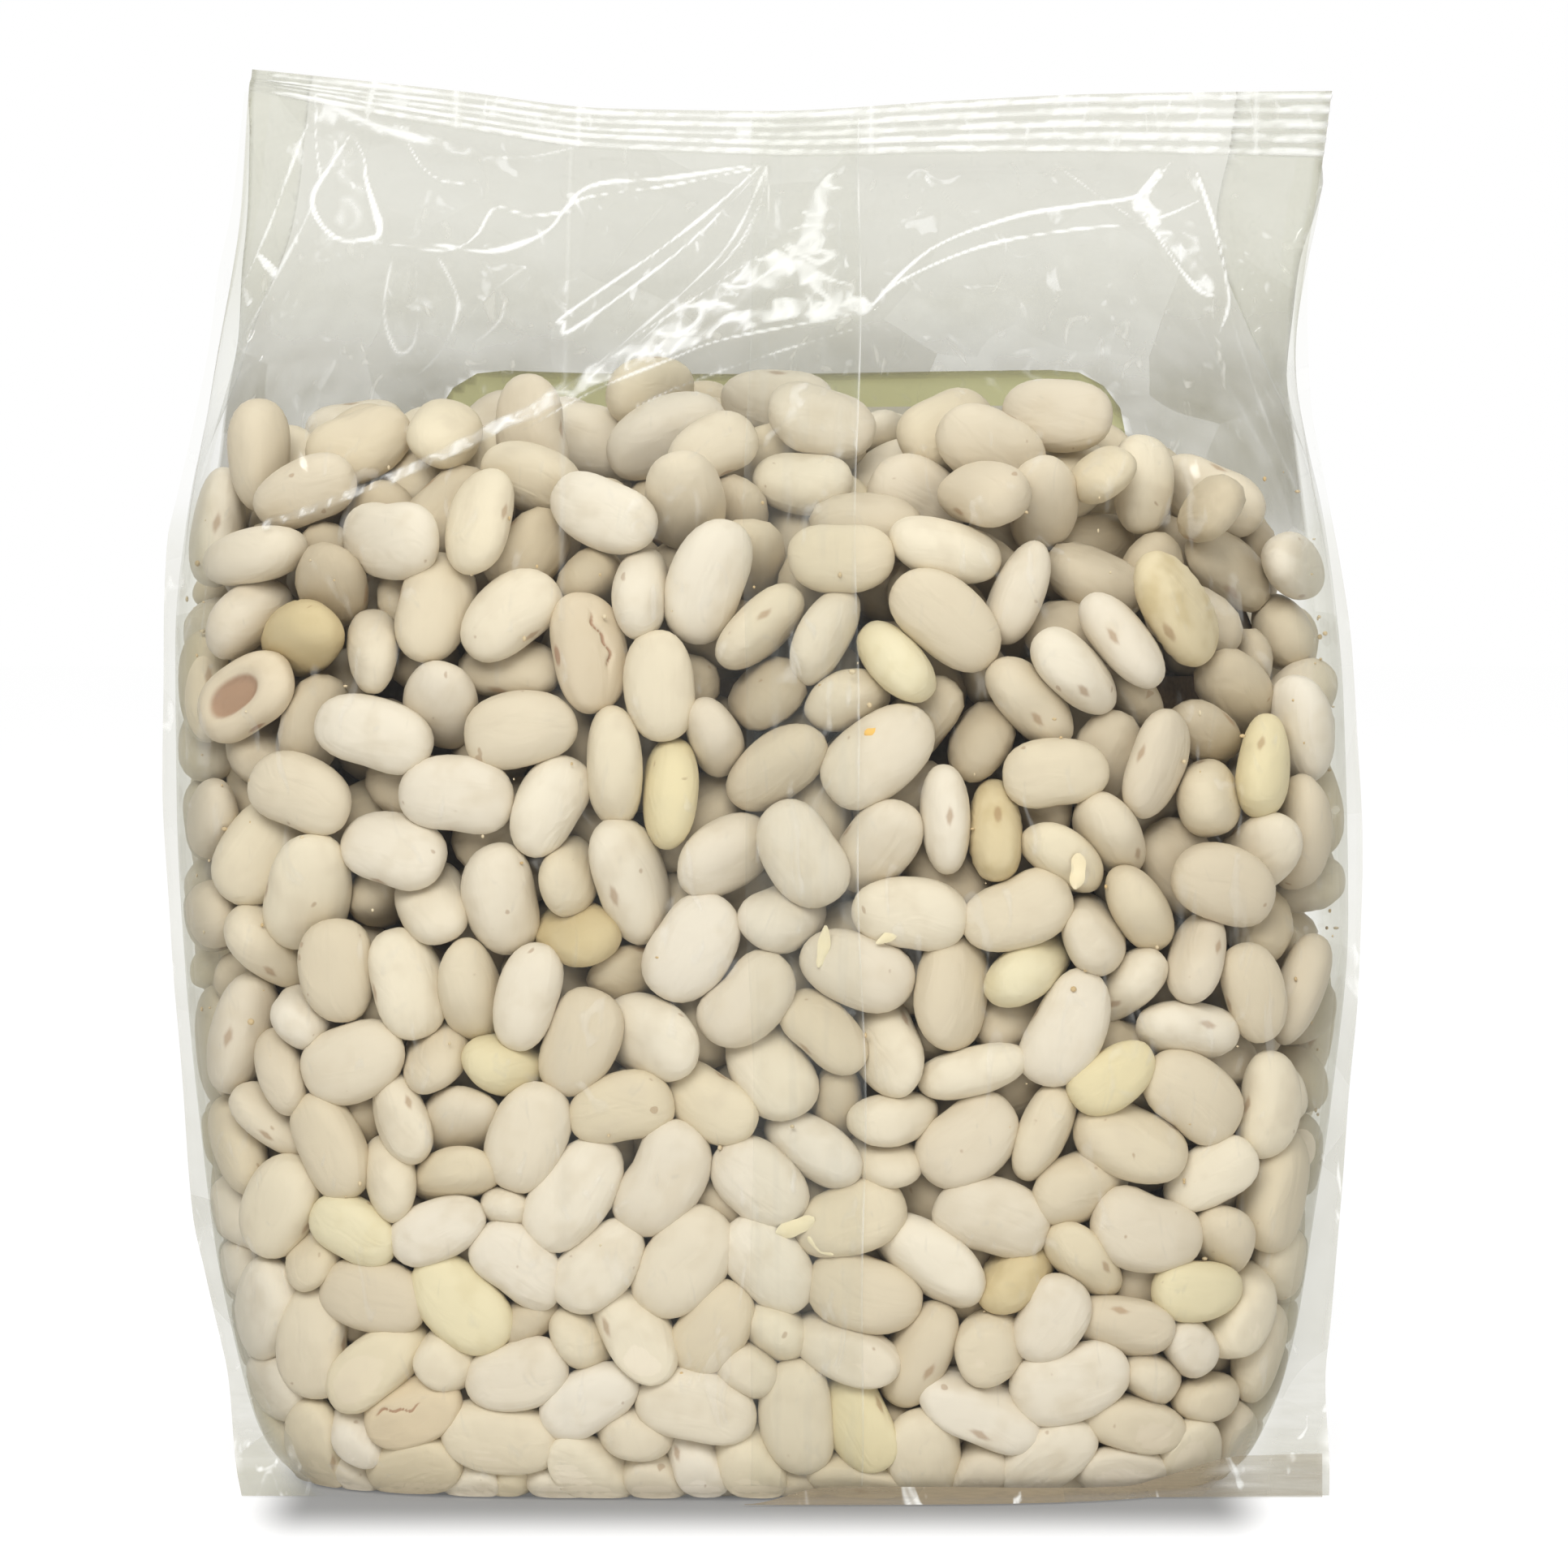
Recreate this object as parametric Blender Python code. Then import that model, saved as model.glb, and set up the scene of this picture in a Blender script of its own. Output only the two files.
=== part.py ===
"""Clear side-gusset bag of dried beans, standing on its own weight, with a label on its front.

Metres, +Z up. The back panel with the lap seam faces -Y and the labelled front faces +Y.
The origin is under the middle of the bag, on the surface that it stands on.
"""

import bmesh
import bpy
import numpy as np

# Driving dimensions of the bag.
BAG_HEIGHT = 0.1805
SEAL_HEIGHT = 0.0068
SEAL_HALF_THICKNESS = 0.0006
SEAL_RIDGE = 0.00035
SEAL_RIDGES = 4
SEAL_FOOT = BAG_HEIGHT - SEAL_HEIGHT

# Where each side of the filled bag stands at a height: (height, distance from the middle plane).
RIGHT_SIDE = (
    (0.000, 0.0560), (0.002, 0.0588), (0.008, 0.0636), (0.018, 0.0688), (0.035, 0.0728),
    (0.053, 0.0762), (0.077, 0.0780), (0.102, 0.0772), (0.126, 0.0744), (0.145, 0.0712),
    (0.161, 0.0730), (BAG_HEIGHT, 0.0754),
)
LEFT_SIDE = (
    (0.000, 0.0560), (0.002, 0.0592), (0.008, 0.0636), (0.018, 0.0682), (0.035, 0.0730),
    (0.058, 0.0756), (0.087, 0.0773), (0.116, 0.0780), (0.131, 0.0752), (0.149, 0.0710),
    (0.161, 0.0690), (BAG_HEIGHT, 0.0675),
)
# Half the bag's depth at a height, which the seal presses flat.
HALF_DEPTH = (
    (0.000, 0.0300), (0.002, 0.0328), (0.008, 0.0352), (0.020, 0.0364), (0.044, 0.0370),
    (0.078, 0.0365), (0.107, 0.0345), (0.124, 0.0310), (0.136, 0.0262), (0.146, 0.0202),
    (0.156, 0.0132), (0.164, 0.0074), (0.170, 0.0032), (SEAL_FOOT, SEAL_HALF_THICKNESS),
)
# How square the bag's cross-section is: 2 is an ellipse.
SQUARENESS = ((0.000, 3.5), (0.116, 3.3), (0.145, 2.6), (SEAL_FOOT, 2.2), (BAG_HEIGHT, 2.2))

# The side gussets tuck in above the beans.
TUCK_DEPTH = 0.0085
TUCK_LIP = 0.40
TUCK_FROM, TUCK_FULL, TUCK_EASES, TUCK_TO = 0.126, 0.149, 0.155, 0.1715

# The empty top leans back, waves in depth and is cut a little unevenly.
TOP_FROM = 0.126
TOP_LEAN = 0.0040
TOP_WAVE = 0.0024
WAVE_LENGTH = 0.120
TOP_EDGE_RISE = ((-0.0675, 0.0030), (-0.0400, 0.0000), (-0.0200, -0.0022), (0.0000, -0.0024),
                 (0.0250, -0.0010), (0.0450, -0.0002), (0.0754, 0.0000))

# The bottom seal's ends stand out at the corners as flat ears.
EAR_HALF_THICKNESS = 0.0006
EAR_INSIDE = 0.012
RIGHT_EAR = ((0.0726, 0.0004), (0.0740, 0.0195), (0.0752, 0.0390))
LEFT_EAR = ((0.0666, 0.0020), (0.0698, 0.0145), (0.0725, 0.0290))
RIGHT_EAR_Y, LEFT_EAR_Y = -0.0170, -0.0150

# The lap seam runs up the back panel.
SEAM_LEFT, SEAM_WIDTH = -0.0015, 0.0146
SEAM_RAISED, SEAM_SUNK = 0.0004, 0.0012
SEAM_FROM, SEAM_TO = 0.012, 0.1705

# The label on the front panel.
LABEL_WIDTH, LABEL_HEIGHT, LABEL_CORNER = 0.0940, 0.1000, 0.0090
LABEL_TOP = 0.1445
LABEL_MIDDLE_X = 0.0024
LABEL_GAP, LABEL_THICKNESS = 0.0004, 0.0003

# Points around a quarter of a cross-section: in the tuck, and in the rest.
TUCK_STEPS, PANEL_STEPS = 4, 12
FINE_STEPS = 400


def through(stations, at):
    """Smooth value at a place, on a curve that passes through the stations without overshoot."""
    places, values = np.array(stations, float).T
    steps = np.diff(places)
    slopes = np.diff(values) / steps
    tangents = np.zeros(len(places))
    same_way = slopes[:-1] * slopes[1:] > 0
    harmonic = 2.0 * slopes[:-1] * slopes[1:] / np.where(same_way, slopes[:-1] + slopes[1:], 1.0)
    tangents[1:-1] = np.where(same_way, harmonic, 0.0)
    tangents[0], tangents[-1] = slopes[0], slopes[-1]
    at = np.clip(at, places[0], places[-1])
    i = np.clip(np.searchsorted(places, at, side="right") - 1, 0, len(steps) - 1)
    t = (at - places[i]) / steps[i]
    rise = (values[i + 1] - values[i]) * t * t * (3.0 - 2.0 * t)
    start = tangents[i] * steps[i] * t * (1.0 - t) ** 2
    end = tangents[i + 1] * steps[i] * t * t * (t - 1.0)
    return values[i] + rise + start + end


def ease(low, high, at):
    """0 up to low, 1 from high, smooth between them."""
    t = np.clip((np.asarray(at) - low) / (high - low), 0.0, 1.0)
    return t * t * (3.0 - 2.0 * t)


def shape_top(points):
    """Leans, waves and lifts the empty top of the bag."""
    x, y, z = points.T
    share = ease(TOP_FROM, BAG_HEIGHT, z)
    wave = TOP_WAVE * np.sin(2.0 * np.pi * x / WAVE_LENGTH + 0.6)
    lifted = z + through(TOP_EDGE_RISE, x) * share
    return np.stack([x, y + share * (TOP_LEAN + wave), lifted], axis=1)


def side_reach(right, height):
    return through(RIGHT_SIDE if right else LEFT_SIDE, height)


def half_depth(height):
    """Half the depth in the middle of the panels, with the seal's pressed ridges."""
    depth = through(HALF_DEPTH, height)
    into_seal = (height - SEAL_FOOT) / SEAL_HEIGHT
    if into_seal <= 0.0:
        return depth
    return depth + SEAL_RIDGE * np.sin(np.pi * SEAL_RIDGES * into_seal) ** 2


def quarter(reach, depth, power, tuck):
    """One quarter of a cross-section, from the side to the middle of a panel."""
    angle = np.linspace(0.0, np.pi / 2.0, FINE_STEPS)
    x = reach * np.cos(angle).clip(0.0) ** (2.0 / power)
    y = depth * np.sin(angle) ** (2.0 / power)
    length = np.concatenate([[0.0], np.cumsum(np.hypot(np.diff(x), np.diff(y)))])
    lip = np.interp(TUCK_LIP * depth, y, length)
    at = np.concatenate([
        np.linspace(0.0, lip, TUCK_STEPS + 1)[:-1],
        np.linspace(lip, length[-1], PANEL_STEPS + 1),
    ])
    fold = tuck * (1.0 - at / lip).clip(0.0)
    return np.interp(at, length, x) - fold, np.interp(at, length, y)


def section(height):
    """The closed cross-section at a height, anticlockwise from the right-hand side."""
    power = through(SQUARENESS, height)
    depth = half_depth(height)
    tuck = TUCK_DEPTH * ease(TUCK_FROM, TUCK_FULL, height) * (1.0 - ease(TUCK_EASES, TUCK_TO, height))
    right_x, right_y = quarter(side_reach(True, height), depth, power, tuck)
    left_x, left_y = quarter(side_reach(False, height), depth, power, tuck)
    x = np.concatenate([right_x[:-1], -left_x[:0:-1], -left_x[:-1], right_x[:0:-1]])
    y = np.concatenate([right_y[:-1], left_y[:0:-1], -left_y[:-1], -right_y[:0:-1]])
    return np.stack([x, y, np.full_like(x, height)], axis=1)


def panel_y(x, height):
    """How far the middle of a panel stands from the middle plane at x, without the top's wave."""
    reach = side_reach(x > 0.0, height)
    power = through(SQUARENESS, height)
    return half_depth(height) * (1.0 - min(abs(x) / reach, 0.999) ** power) ** (1.0 / power)


def ring_heights():
    """Close together where the bag turns: at its foot, its shoulder and its seal."""
    foot = (0.0, 0.0008, 0.0022, 0.0045, 0.0085, 0.014)
    body = np.linspace(0.021, 0.117, 12)
    shoulder = np.linspace(0.1220, 0.1712, 13)
    seal = np.linspace(SEAL_FOOT, BAG_HEIGHT, 2 * SEAL_RIDGES + 1)
    return np.concatenate([foot, body, shoulder, seal])


def new_object(name, mesh_builder, material):
    mesh = bpy.data.meshes.new(name)
    bm = bmesh.new()
    mesh_builder(bm)
    bmesh.ops.recalc_face_normals(bm, faces=bm.faces)
    bm.to_mesh(mesh)
    bm.free()
    mesh.shade_smooth()
    mesh.set_sharp_from_angle(angle=np.radians(40.0))
    if material:
        mesh.materials.append(material)
    made = bpy.data.objects.new(name, mesh)
    bpy.context.scene.collection.objects.link(made)
    return made


def loft(bm, rings):
    """Closed skin over rings of equally many points, flat at both ends."""
    verts = [[bm.verts.new(point) for point in ring] for ring in rings]
    count = len(verts[0])
    for low, high in zip(verts, verts[1:]):
        for i in range(count):
            j = (i + 1) % count
            bm.faces.new((low[i], low[j], high[j], high[i]))
    bm.faces.new(verts[0][::-1])
    bm.faces.new(verts[-1])


def plate(bm, outer, inner):
    """Closed thin plate between two matching grids of points, rows by columns."""
    skins = [[[bm.verts.new(point) for point in row] for row in grid] for grid in (outer, inner)]
    rows, columns = len(skins[0]), len(skins[0][0])
    for skin in skins:
        for r in range(rows - 1):
            for c in range(columns - 1):
                bm.faces.new((skin[r][c], skin[r][c + 1], skin[r + 1][c + 1], skin[r + 1][c]))
    edge = [(r, 0) for r in range(rows)] + [(rows - 1, c) for c in range(1, columns)]
    edge += [(r, columns - 1) for r in range(rows - 2, -1, -1)] + [(0, c) for c in range(columns - 2, 0, -1)]
    for (r, c), (s, d) in zip(edge, edge[1:] + edge[:1]):
        bm.faces.new((skins[0][r][c], skins[0][s][d], skins[1][s][d], skins[1][r][c]))


def build_body(bm):
    loft(bm, [shape_top(section(height)) for height in ring_heights()])


def build_ear(bm, right):
    """Flat ear of the bottom seal, sunk into the body along its inner edge."""
    outline = RIGHT_EAR if right else LEFT_EAR
    middle = RIGHT_EAR_Y if right else LEFT_EAR_Y
    sign = 1.0 if right else -1.0
    heights = np.linspace(outline[0][1], outline[-1][1], 9)
    rows = []
    for height in heights:
        outer_x = through([(z, x) for x, z in outline], height)
        inner_x = side_reach(right, height) - EAR_INSIDE
        rows.append([(sign * x, height) for x in np.linspace(inner_x, outer_x, 5)])
    grids = [[[(x, middle + side * EAR_HALF_THICKNESS, z) for x, z in row] for row in rows] for side in (-1.0, 1.0)]
    plate(bm, *grids)


def build_seam(bm):
    """Lap seam of the back panel: a strip that stands proud of it."""
    heights = np.linspace(SEAM_FROM, SEAM_TO, 28)
    places = np.linspace(SEAM_LEFT, SEAM_LEFT + SEAM_WIDTH, 4)
    grids = []
    for offset in (-SEAM_RAISED, SEAM_SUNK):
        rows = []
        for height in heights:
            sunk = offset if offset < 0.0 else min(offset, 0.6 * half_depth(height))
            row = np.array([(x, sunk - panel_y(x, height), height) for x in places])
            rows.append(shape_top(row))
        grids.append(rows)
    plate(bm, *grids)


def label_half_width(height):
    """Half the label's width at a height, less in its rounded corners."""
    bottom = LABEL_TOP - LABEL_HEIGHT
    from_end = min(height - bottom, LABEL_TOP - height)
    in_corner = max(LABEL_CORNER - from_end, 0.0)
    return LABEL_WIDTH / 2.0 - LABEL_CORNER + np.sqrt(max(LABEL_CORNER**2 - in_corner**2, 0.0))


def build_label(bm):
    """Thin label that follows the front panel."""
    bottom = LABEL_TOP - LABEL_HEIGHT
    bend = LABEL_CORNER * (1.0 - np.cos(np.linspace(0.0, np.pi / 2.0, 6)))
    straight = np.linspace(bottom + LABEL_CORNER, LABEL_TOP - LABEL_CORNER, 12)[1:-1]
    heights = np.concatenate([bottom + bend, straight, LABEL_TOP - bend[::-1]])
    grids = []
    for offset in (LABEL_GAP + LABEL_THICKNESS, LABEL_GAP):
        rows = []
        for height in heights:
            half = label_half_width(height)
            places = LABEL_MIDDLE_X + np.linspace(-half, half, 13)
            row = np.array([(x, panel_y(x, height) + offset, height) for x in places])
            rows.append(shape_top(row))
        grids.append(rows)
    plate(bm, *grids)


def material(name, colour, roughness):
    made = bpy.data.materials.new(name)
    made.use_nodes = True
    shader = made.node_tree.nodes["Principled BSDF"]
    shader.inputs["Base Color"].default_value = (*colour, 1.0)
    shader.inputs["Roughness"].default_value = roughness
    shader.inputs["Metallic"].default_value = 0.0
    return made


def join_into(body, other):
    """Adds another closed shape to the body and keeps the other as a hidden helper."""
    union = body.modifiers.new("join_" + other.name, "BOOLEAN")
    union.operation = "UNION"
    union.solver = "EXACT"
    union.object = other
    other.hide_render = True
    other.display_type = "WIRE"


def stand_on_origin(objects):
    """Moves every mesh so that the bag stands over the origin."""
    corners = np.array([v.co for made in objects for v in made.data.vertices])
    low, high = corners.min(axis=0), corners.max(axis=0)
    shift = -np.array([(low[0] + high[0]) / 2.0, (low[1] + high[1]) / 2.0, low[2]])
    for made in objects:
        for vertex in made.data.vertices:
            vertex.co = np.array(vertex.co) + shift


def main():
    for existing in list(bpy.data.objects):
        bpy.data.objects.remove(existing)
    film = material("film_and_beans", (0.72, 0.66, 0.55), 0.30)
    green = material("label_green", (0.42, 0.45, 0.22), 0.45)
    bag = new_object("bag", build_body, film)
    helpers = [
        new_object("ear_right", lambda bm: build_ear(bm, True), None),
        new_object("ear_left", lambda bm: build_ear(bm, False), None),
        new_object("lap_seam", build_seam, None),
    ]
    label = new_object("label", build_label, green)
    stand_on_origin([bag, label, *helpers])
    for helper in helpers:
        join_into(bag, helper)


main()
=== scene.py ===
"""Looks of the clear bag of dried beans: film with seals and creases, the beans in it, the label.

Metres, +Z up. The back panel with the lap seam faces -Y, towards the camera.
"""

import math

import bpy
import numpy as np
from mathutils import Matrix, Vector
from mathutils.bvhtree import BVHTree


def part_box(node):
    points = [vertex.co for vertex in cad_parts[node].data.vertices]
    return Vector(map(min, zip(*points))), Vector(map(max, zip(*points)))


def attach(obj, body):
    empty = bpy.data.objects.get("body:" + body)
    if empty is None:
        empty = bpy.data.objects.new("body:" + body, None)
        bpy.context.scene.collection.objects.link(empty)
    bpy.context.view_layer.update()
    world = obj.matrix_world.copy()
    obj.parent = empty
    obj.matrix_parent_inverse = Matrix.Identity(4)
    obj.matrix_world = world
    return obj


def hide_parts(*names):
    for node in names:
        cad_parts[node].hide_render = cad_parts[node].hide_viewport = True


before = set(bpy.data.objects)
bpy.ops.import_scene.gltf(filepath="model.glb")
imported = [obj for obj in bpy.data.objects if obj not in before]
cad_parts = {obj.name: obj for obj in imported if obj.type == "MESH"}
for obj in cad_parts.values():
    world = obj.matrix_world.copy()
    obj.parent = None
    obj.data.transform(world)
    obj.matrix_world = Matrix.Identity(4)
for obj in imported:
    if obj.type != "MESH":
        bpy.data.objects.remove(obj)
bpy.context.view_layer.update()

SEED = 11
BAG_LOW, BAG_HIGH = (np.array(corner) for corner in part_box("bag"))
LABEL_LOW, LABEL_HIGH = (np.array(corner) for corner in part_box("label"))
MM = 0.001
HALF_WIDTH = (BAG_HIGH[0] - BAG_LOW[0]) / 2.0
EDGE_RISE = 3.0 * MM
HEIGHT = BAG_HIGH[2] - BAG_LOW[2] - EDGE_RISE

# ---------------------------------------------------------------- the shape of the filled bag
# Where the film's edge and the beans stand on each side, as a share of the bag's half width, by
# share of its height. The film stands out past the beans in a narrow fin, and in ears at the foot.
RIGHT_EDGE = (
    (0.000, 0.932), (0.057, 0.936), (0.122, 0.951), (0.205, 0.965), (0.276, 0.977), (0.353, 0.991),
    (0.442, 0.998), (0.525, 0.990), (0.597, 0.979), (0.656, 0.961), (0.727, 0.931), (0.774, 0.914),
    (0.827, 0.912), (0.870, 0.915), (0.917, 0.928), (1.000, 0.967),
)
LEFT_EDGE = (
    (0.000, 0.850), (0.092, 0.895), (0.152, 0.927), (0.187, 0.944), (0.264, 0.957), (0.383, 0.977),
    (0.500, 0.991), (0.600, 0.989), (0.673, 0.984), (0.703, 0.970), (0.750, 0.945), (0.810, 0.920),
    (0.857, 0.909), (0.905, 0.886), (0.960, 0.872), (1.000, 0.864),
)
RIGHT_SIDE = (
    (0.000, 0.790), (0.016, 0.825), (0.039, 0.853), (0.067, 0.878), (0.110, 0.902), (0.190, 0.930),
    (0.270, 0.957), (0.400, 0.984), (0.560, 0.975), (0.670, 0.950), (0.740, 0.926), (0.800, 0.909),
    (0.870, 0.920), (0.917, 0.938), (1.000, 0.967),
)
LEFT_SIDE = (
    (0.000, 0.785), (0.016, 0.822), (0.039, 0.850), (0.090, 0.882), (0.160, 0.915), (0.240, 0.938),
    (0.360, 0.964), (0.480, 0.978), (0.600, 0.980), (0.680, 0.964), (0.740, 0.942), (0.800, 0.920),
    (0.860, 0.900), (0.905, 0.884), (0.960, 0.872), (1.000, 0.864),
)
# Half the depth of the bag, in metres, by share of its height.
HALF_DEPTH = (
    (0.000, 0.0296), (0.011, 0.0326), (0.043, 0.0350), (0.108, 0.0362), (0.242, 0.0368),
    (0.430, 0.0363), (0.591, 0.0343), (0.688, 0.0308), (0.753, 0.0262), (0.806, 0.0204),
    (0.864, 0.0134), (0.908, 0.0074), (0.942, 0.0032), (0.962, 0.0003), (1.000, 0.0003),
)
# Exponent of the superellipse that a cross-section follows, by share of the bag's height.
SQUARENESS = ((0.000, 3.6), (0.645, 3.4), (0.806, 3.2), (0.900, 3.6), (1.000, 4.2))
# The top seal: its foot, its pressed ridges, and the places across it where layers of film end.
SEAL_FOOT = 0.962 * HEIGHT
SEAL_RIDGES = 5
SEAL_RIDGE = 0.30 * MM
SEAL_STEPS = (-40.0 * MM, -24.0 * MM, 14.5 * MM, 65.0 * MM)
# The folded foot strip: its height, more at the ear, and where it leaves the panel and runs straight.
FOOT_HEIGHT, FOOT_EAR_RISE = 2.2 * MM, 3.6 * MM
FOOT_TURN = 50.0 * MM
# The label's border, the radius of its corners, its gap to the front panel and its thickness.
LABEL_BORDER, LABEL_CORNER, LABEL_GAP, LABEL_THICKNESS = 4.8 * MM, 9.0 * MM, 1.1 * MM, 0.2 * MM
# Rows and columns of the film's mesh; the back panel's empty top is the finest.
GUSSET_PARTS, PANEL_PARTS, FINE_PARTS, FINE_ROWS = 8, 52, 222, 196
FINE_FROM = 0.620 * HEIGHT
BODY_HEIGHTS = np.concatenate([np.linspace(0.0, 0.075, 14)[:-1], np.linspace(0.075, 0.620, 34)])
TOP_HEIGHTS = np.concatenate([np.linspace(0.620, 0.962, 56)[:-1], np.linspace(0.962, 1.0, 26)])
# How the empty top leans and waves, and how its edge and the seal's foot rise and fall, by x.
TOP_FROM = 0.700 * HEIGHT
TOP_LEAN, TOP_WAVE, WAVE_LENGTH = 4.0 * MM, 2.4 * MM, 120.0 * MM
TOP_EDGE_RISE = ((-0.0675, 0.0030), (-0.0400, 0.0000), (-0.0200, -0.0022), (0.0000, -0.0024),
                 (0.0250, -0.0010), (0.0450, -0.0002), (0.0754, 0.0000))
SEAL_FOOT_RISE = ((-0.0675, 0.0040), (-0.0390, 0.0018), (0.0000, 0.0008), (0.0400, -0.0008),
                  (0.0754, -0.0020))
# How far the gussets tuck in at the top, and the share of the half depth where their folds stand.
TUCK_RIGHT, TUCK_LEFT, TUCK_LIP = 13.0 * MM, 8.5 * MM, 0.42
# Share of light that the film scatters where it lies clear on the beans.
CLEAR_HAZE = 0.008
# Edges of the lap seam, and the line where the layer under it ends.
SEAM_LEFT, SEAM_RIGHT, PANEL_LAP = -1.5 * MM, 12.7 * MM, -25.0 * MM

# ---------------------------------------------------------------- beans
# Size and number of the beans, the top of their heap and how much lower it is at the sides.
BEAN_LENGTH, BEAN_WIDTH, BEAN_THICK = 14.5 * MM, 9.5 * MM, 6.8 * MM
BEAN_COUNT = 1770
HEAP_TOP = 0.820 * HEIGHT
HEAP_FALL = 7.0 * MM
BEANS_A_PIECE = 250
# Depths of the wrinkles, cracks and hollows of the odd beans.
WRINKLE, CRACK, HOLLOW = 0.10 * MM, 0.5 * MM, 1.5 * MM
# Places (x, z) in metres of the odd beans behind the back panel, and of the loose chips of skin, which
# have a slant in degrees, a length and a width in millimetres, and how orange they are.
YELLOW_AT = ((0.023, 0.100), (-0.036, 0.054), (0.047, 0.053), (0.073, 0.090), (-0.012, 0.090),
             (-0.040, 0.026), (0.016, 0.014), (0.036, 0.067), (-0.058, 0.030), (0.055, 0.022))
WRINKLED_AT = ((-0.025, 0.074), (0.028, 0.028), (0.030, 0.081), (0.066, 0.122), (-0.060, 0.112))
CRACKED_AT = ((-0.018, 0.105), (-0.048, 0.010))
HOLLOW_AT = ((-0.068, 0.107),)
CHIPS = (
    ((0.0045, 0.0355), 20.0, 5.2, 2.2, 0.0), ((0.0075, 0.0330), -35.0, 4.0, 1.1, 0.0),
    ((0.0020, 0.0320), 65.0, 2.6, 1.6, 0.0),
    ((0.0080, 0.0710), 80.0, 5.4, 1.5, 0.0), ((0.0165, 0.0725), 35.0, 4.4, 1.3, 0.0),
    ((0.0400, 0.0805), 85.0, 4.6, 2.0, 0.1), ((0.0262, 0.0110), 70.0, 2.8, 1.2, 0.4),
    ((0.0145, 0.0975), -10.0, 2.9, 2.0, 1.0), ((-0.0035, 0.0225), 50.0, 1.8, 0.9, 0.3),
)
CRUMBS = 700
# Gap that the packing keeps to the film, depth over which a bean is pressed by it, and how deep in
# the heap beans are still made.
FILM_GAP = 0.4 * MM
PRESS = 0.6 * MM
SHELL = 21.0 * MM
# Steps of the packing, how far beans sink in each, how strongly they give way, and how far from each
# other and from the film they start.
SETTLE_STEPS, QUICK_STEPS = 420, 90
PULL, LAST_PULL = 0.05 * MM, 0.01 * MM
SWING = 1.5
BEAN_APART, WALL_APART = 8.5 * MM, 5.0 * MM


def through(stations, at):
    """Smooth value at a place, on a curve that passes through the stations without overshoot."""
    places, values = np.array(stations, float).T
    steps = np.diff(places)
    slopes = np.diff(values) / steps
    tangents = np.zeros(len(places))
    same_way = slopes[:-1] * slopes[1:] > 0
    harmonic = 2.0 * slopes[:-1] * slopes[1:] / np.where(same_way, slopes[:-1] + slopes[1:], 1.0)
    tangents[1:-1] = np.where(same_way, harmonic, 0.0)
    tangents[0], tangents[-1] = slopes[0], slopes[-1]
    at = np.clip(np.asarray(at, float), places[0], places[-1])
    i = np.clip(np.searchsorted(places, at, side="right") - 1, 0, len(steps) - 1)
    t = (at - places[i]) / steps[i]
    rise = (values[i + 1] - values[i]) * t * t * (3.0 - 2.0 * t)
    start = tangents[i] * steps[i] * t * (1.0 - t) ** 2
    end = tangents[i + 1] * steps[i] * t * t * (t - 1.0)
    return values[i] + rise + start + end


def bell(away, width):
    """1 in the middle, falling smoothly to nothing a few widths away."""
    return np.exp(-((away / width) ** 2))


def ease(low, high, at):
    """0 up to low, 1 from high, smooth between them."""
    t = np.clip((np.asarray(at, float) - low) / (high - low), 0.0, 1.0)
    return t * t * (3.0 - 2.0 * t)


def reach(right, height):
    """Half width of the film round the beans, to the right or to the left, at a height."""
    share = through(RIGHT_SIDE, height / HEIGHT) if right else through(LEFT_SIDE, height / HEIGHT)
    return share * HALF_WIDTH


def half_depth(height):
    """Half the depth of the bag at a height."""
    return through(HALF_DEPTH, height / HEIGHT)


def power(height):
    """Squareness of the cross-section at a height."""
    return through(SQUARENESS, height / HEIGHT)


def shape_top(points):
    """Leans, waves and lifts the empty top of the bag."""
    x, y, z = points.T
    share = ease(TOP_FROM, HEIGHT, z)
    wave = TOP_WAVE * np.sin(2.0 * np.pi * x / WAVE_LENGTH + 0.6)
    near_foot = ease(0.88 * HEIGHT, SEAL_FOOT, z) * (1.0 - ease(SEAL_FOOT, HEIGHT, z))
    lifted = z + through(TOP_EDGE_RISE, x) * share + through(SEAL_FOOT_RISE, x) * near_foot
    return np.stack([x, y + share * (TOP_LEAN + wave), lifted], axis=1)


# ---------------------------------------------------------------- packing the beans
def rotations(axes_x, axes_z):
    """Rotation matrices from wanted long axes and wanted thin axes."""
    x = axes_x / np.linalg.norm(axes_x, axis=1, keepdims=True)
    z = axes_z - x * (axes_z * x).sum(1, keepdims=True)
    z /= np.linalg.norm(z, axis=1, keepdims=True)
    return np.stack([x, np.cross(z, x), z], axis=2)


def small_turn(turn, matrix):
    """Matrices turned by small rotation vectors, kept square."""
    angle = np.linalg.norm(turn, axis=1, keepdims=True) + 1e-12
    k = turn / angle
    zero = np.zeros(len(k))
    rows = [zero, -k[:, 2], k[:, 1], k[:, 2], zero, -k[:, 0], -k[:, 1], k[:, 0], zero]
    cross = np.stack(rows, 1).reshape(-1, 3, 3)
    s, c = np.sin(angle)[:, :, None], np.cos(angle)[:, :, None]
    spin = np.eye(3) + s * cross + (1.0 - c) * (cross @ cross)
    return spin @ matrix


def bean_balls():
    """The balls that stand for a bean in the packing, as places along its own axes."""
    ball = BEAN_THICK / 2.0
    end, side = BEAN_LENGTH / 2.0 - ball, BEAN_WIDTH / 2.0 - ball
    near = 0.36 * end
    return np.array([(end, 0, 0), (-end, 0, 0), (near, side, 0), (near, -side, 0), (-near, side, 0),
                     (-near, -side, 0)])


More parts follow.
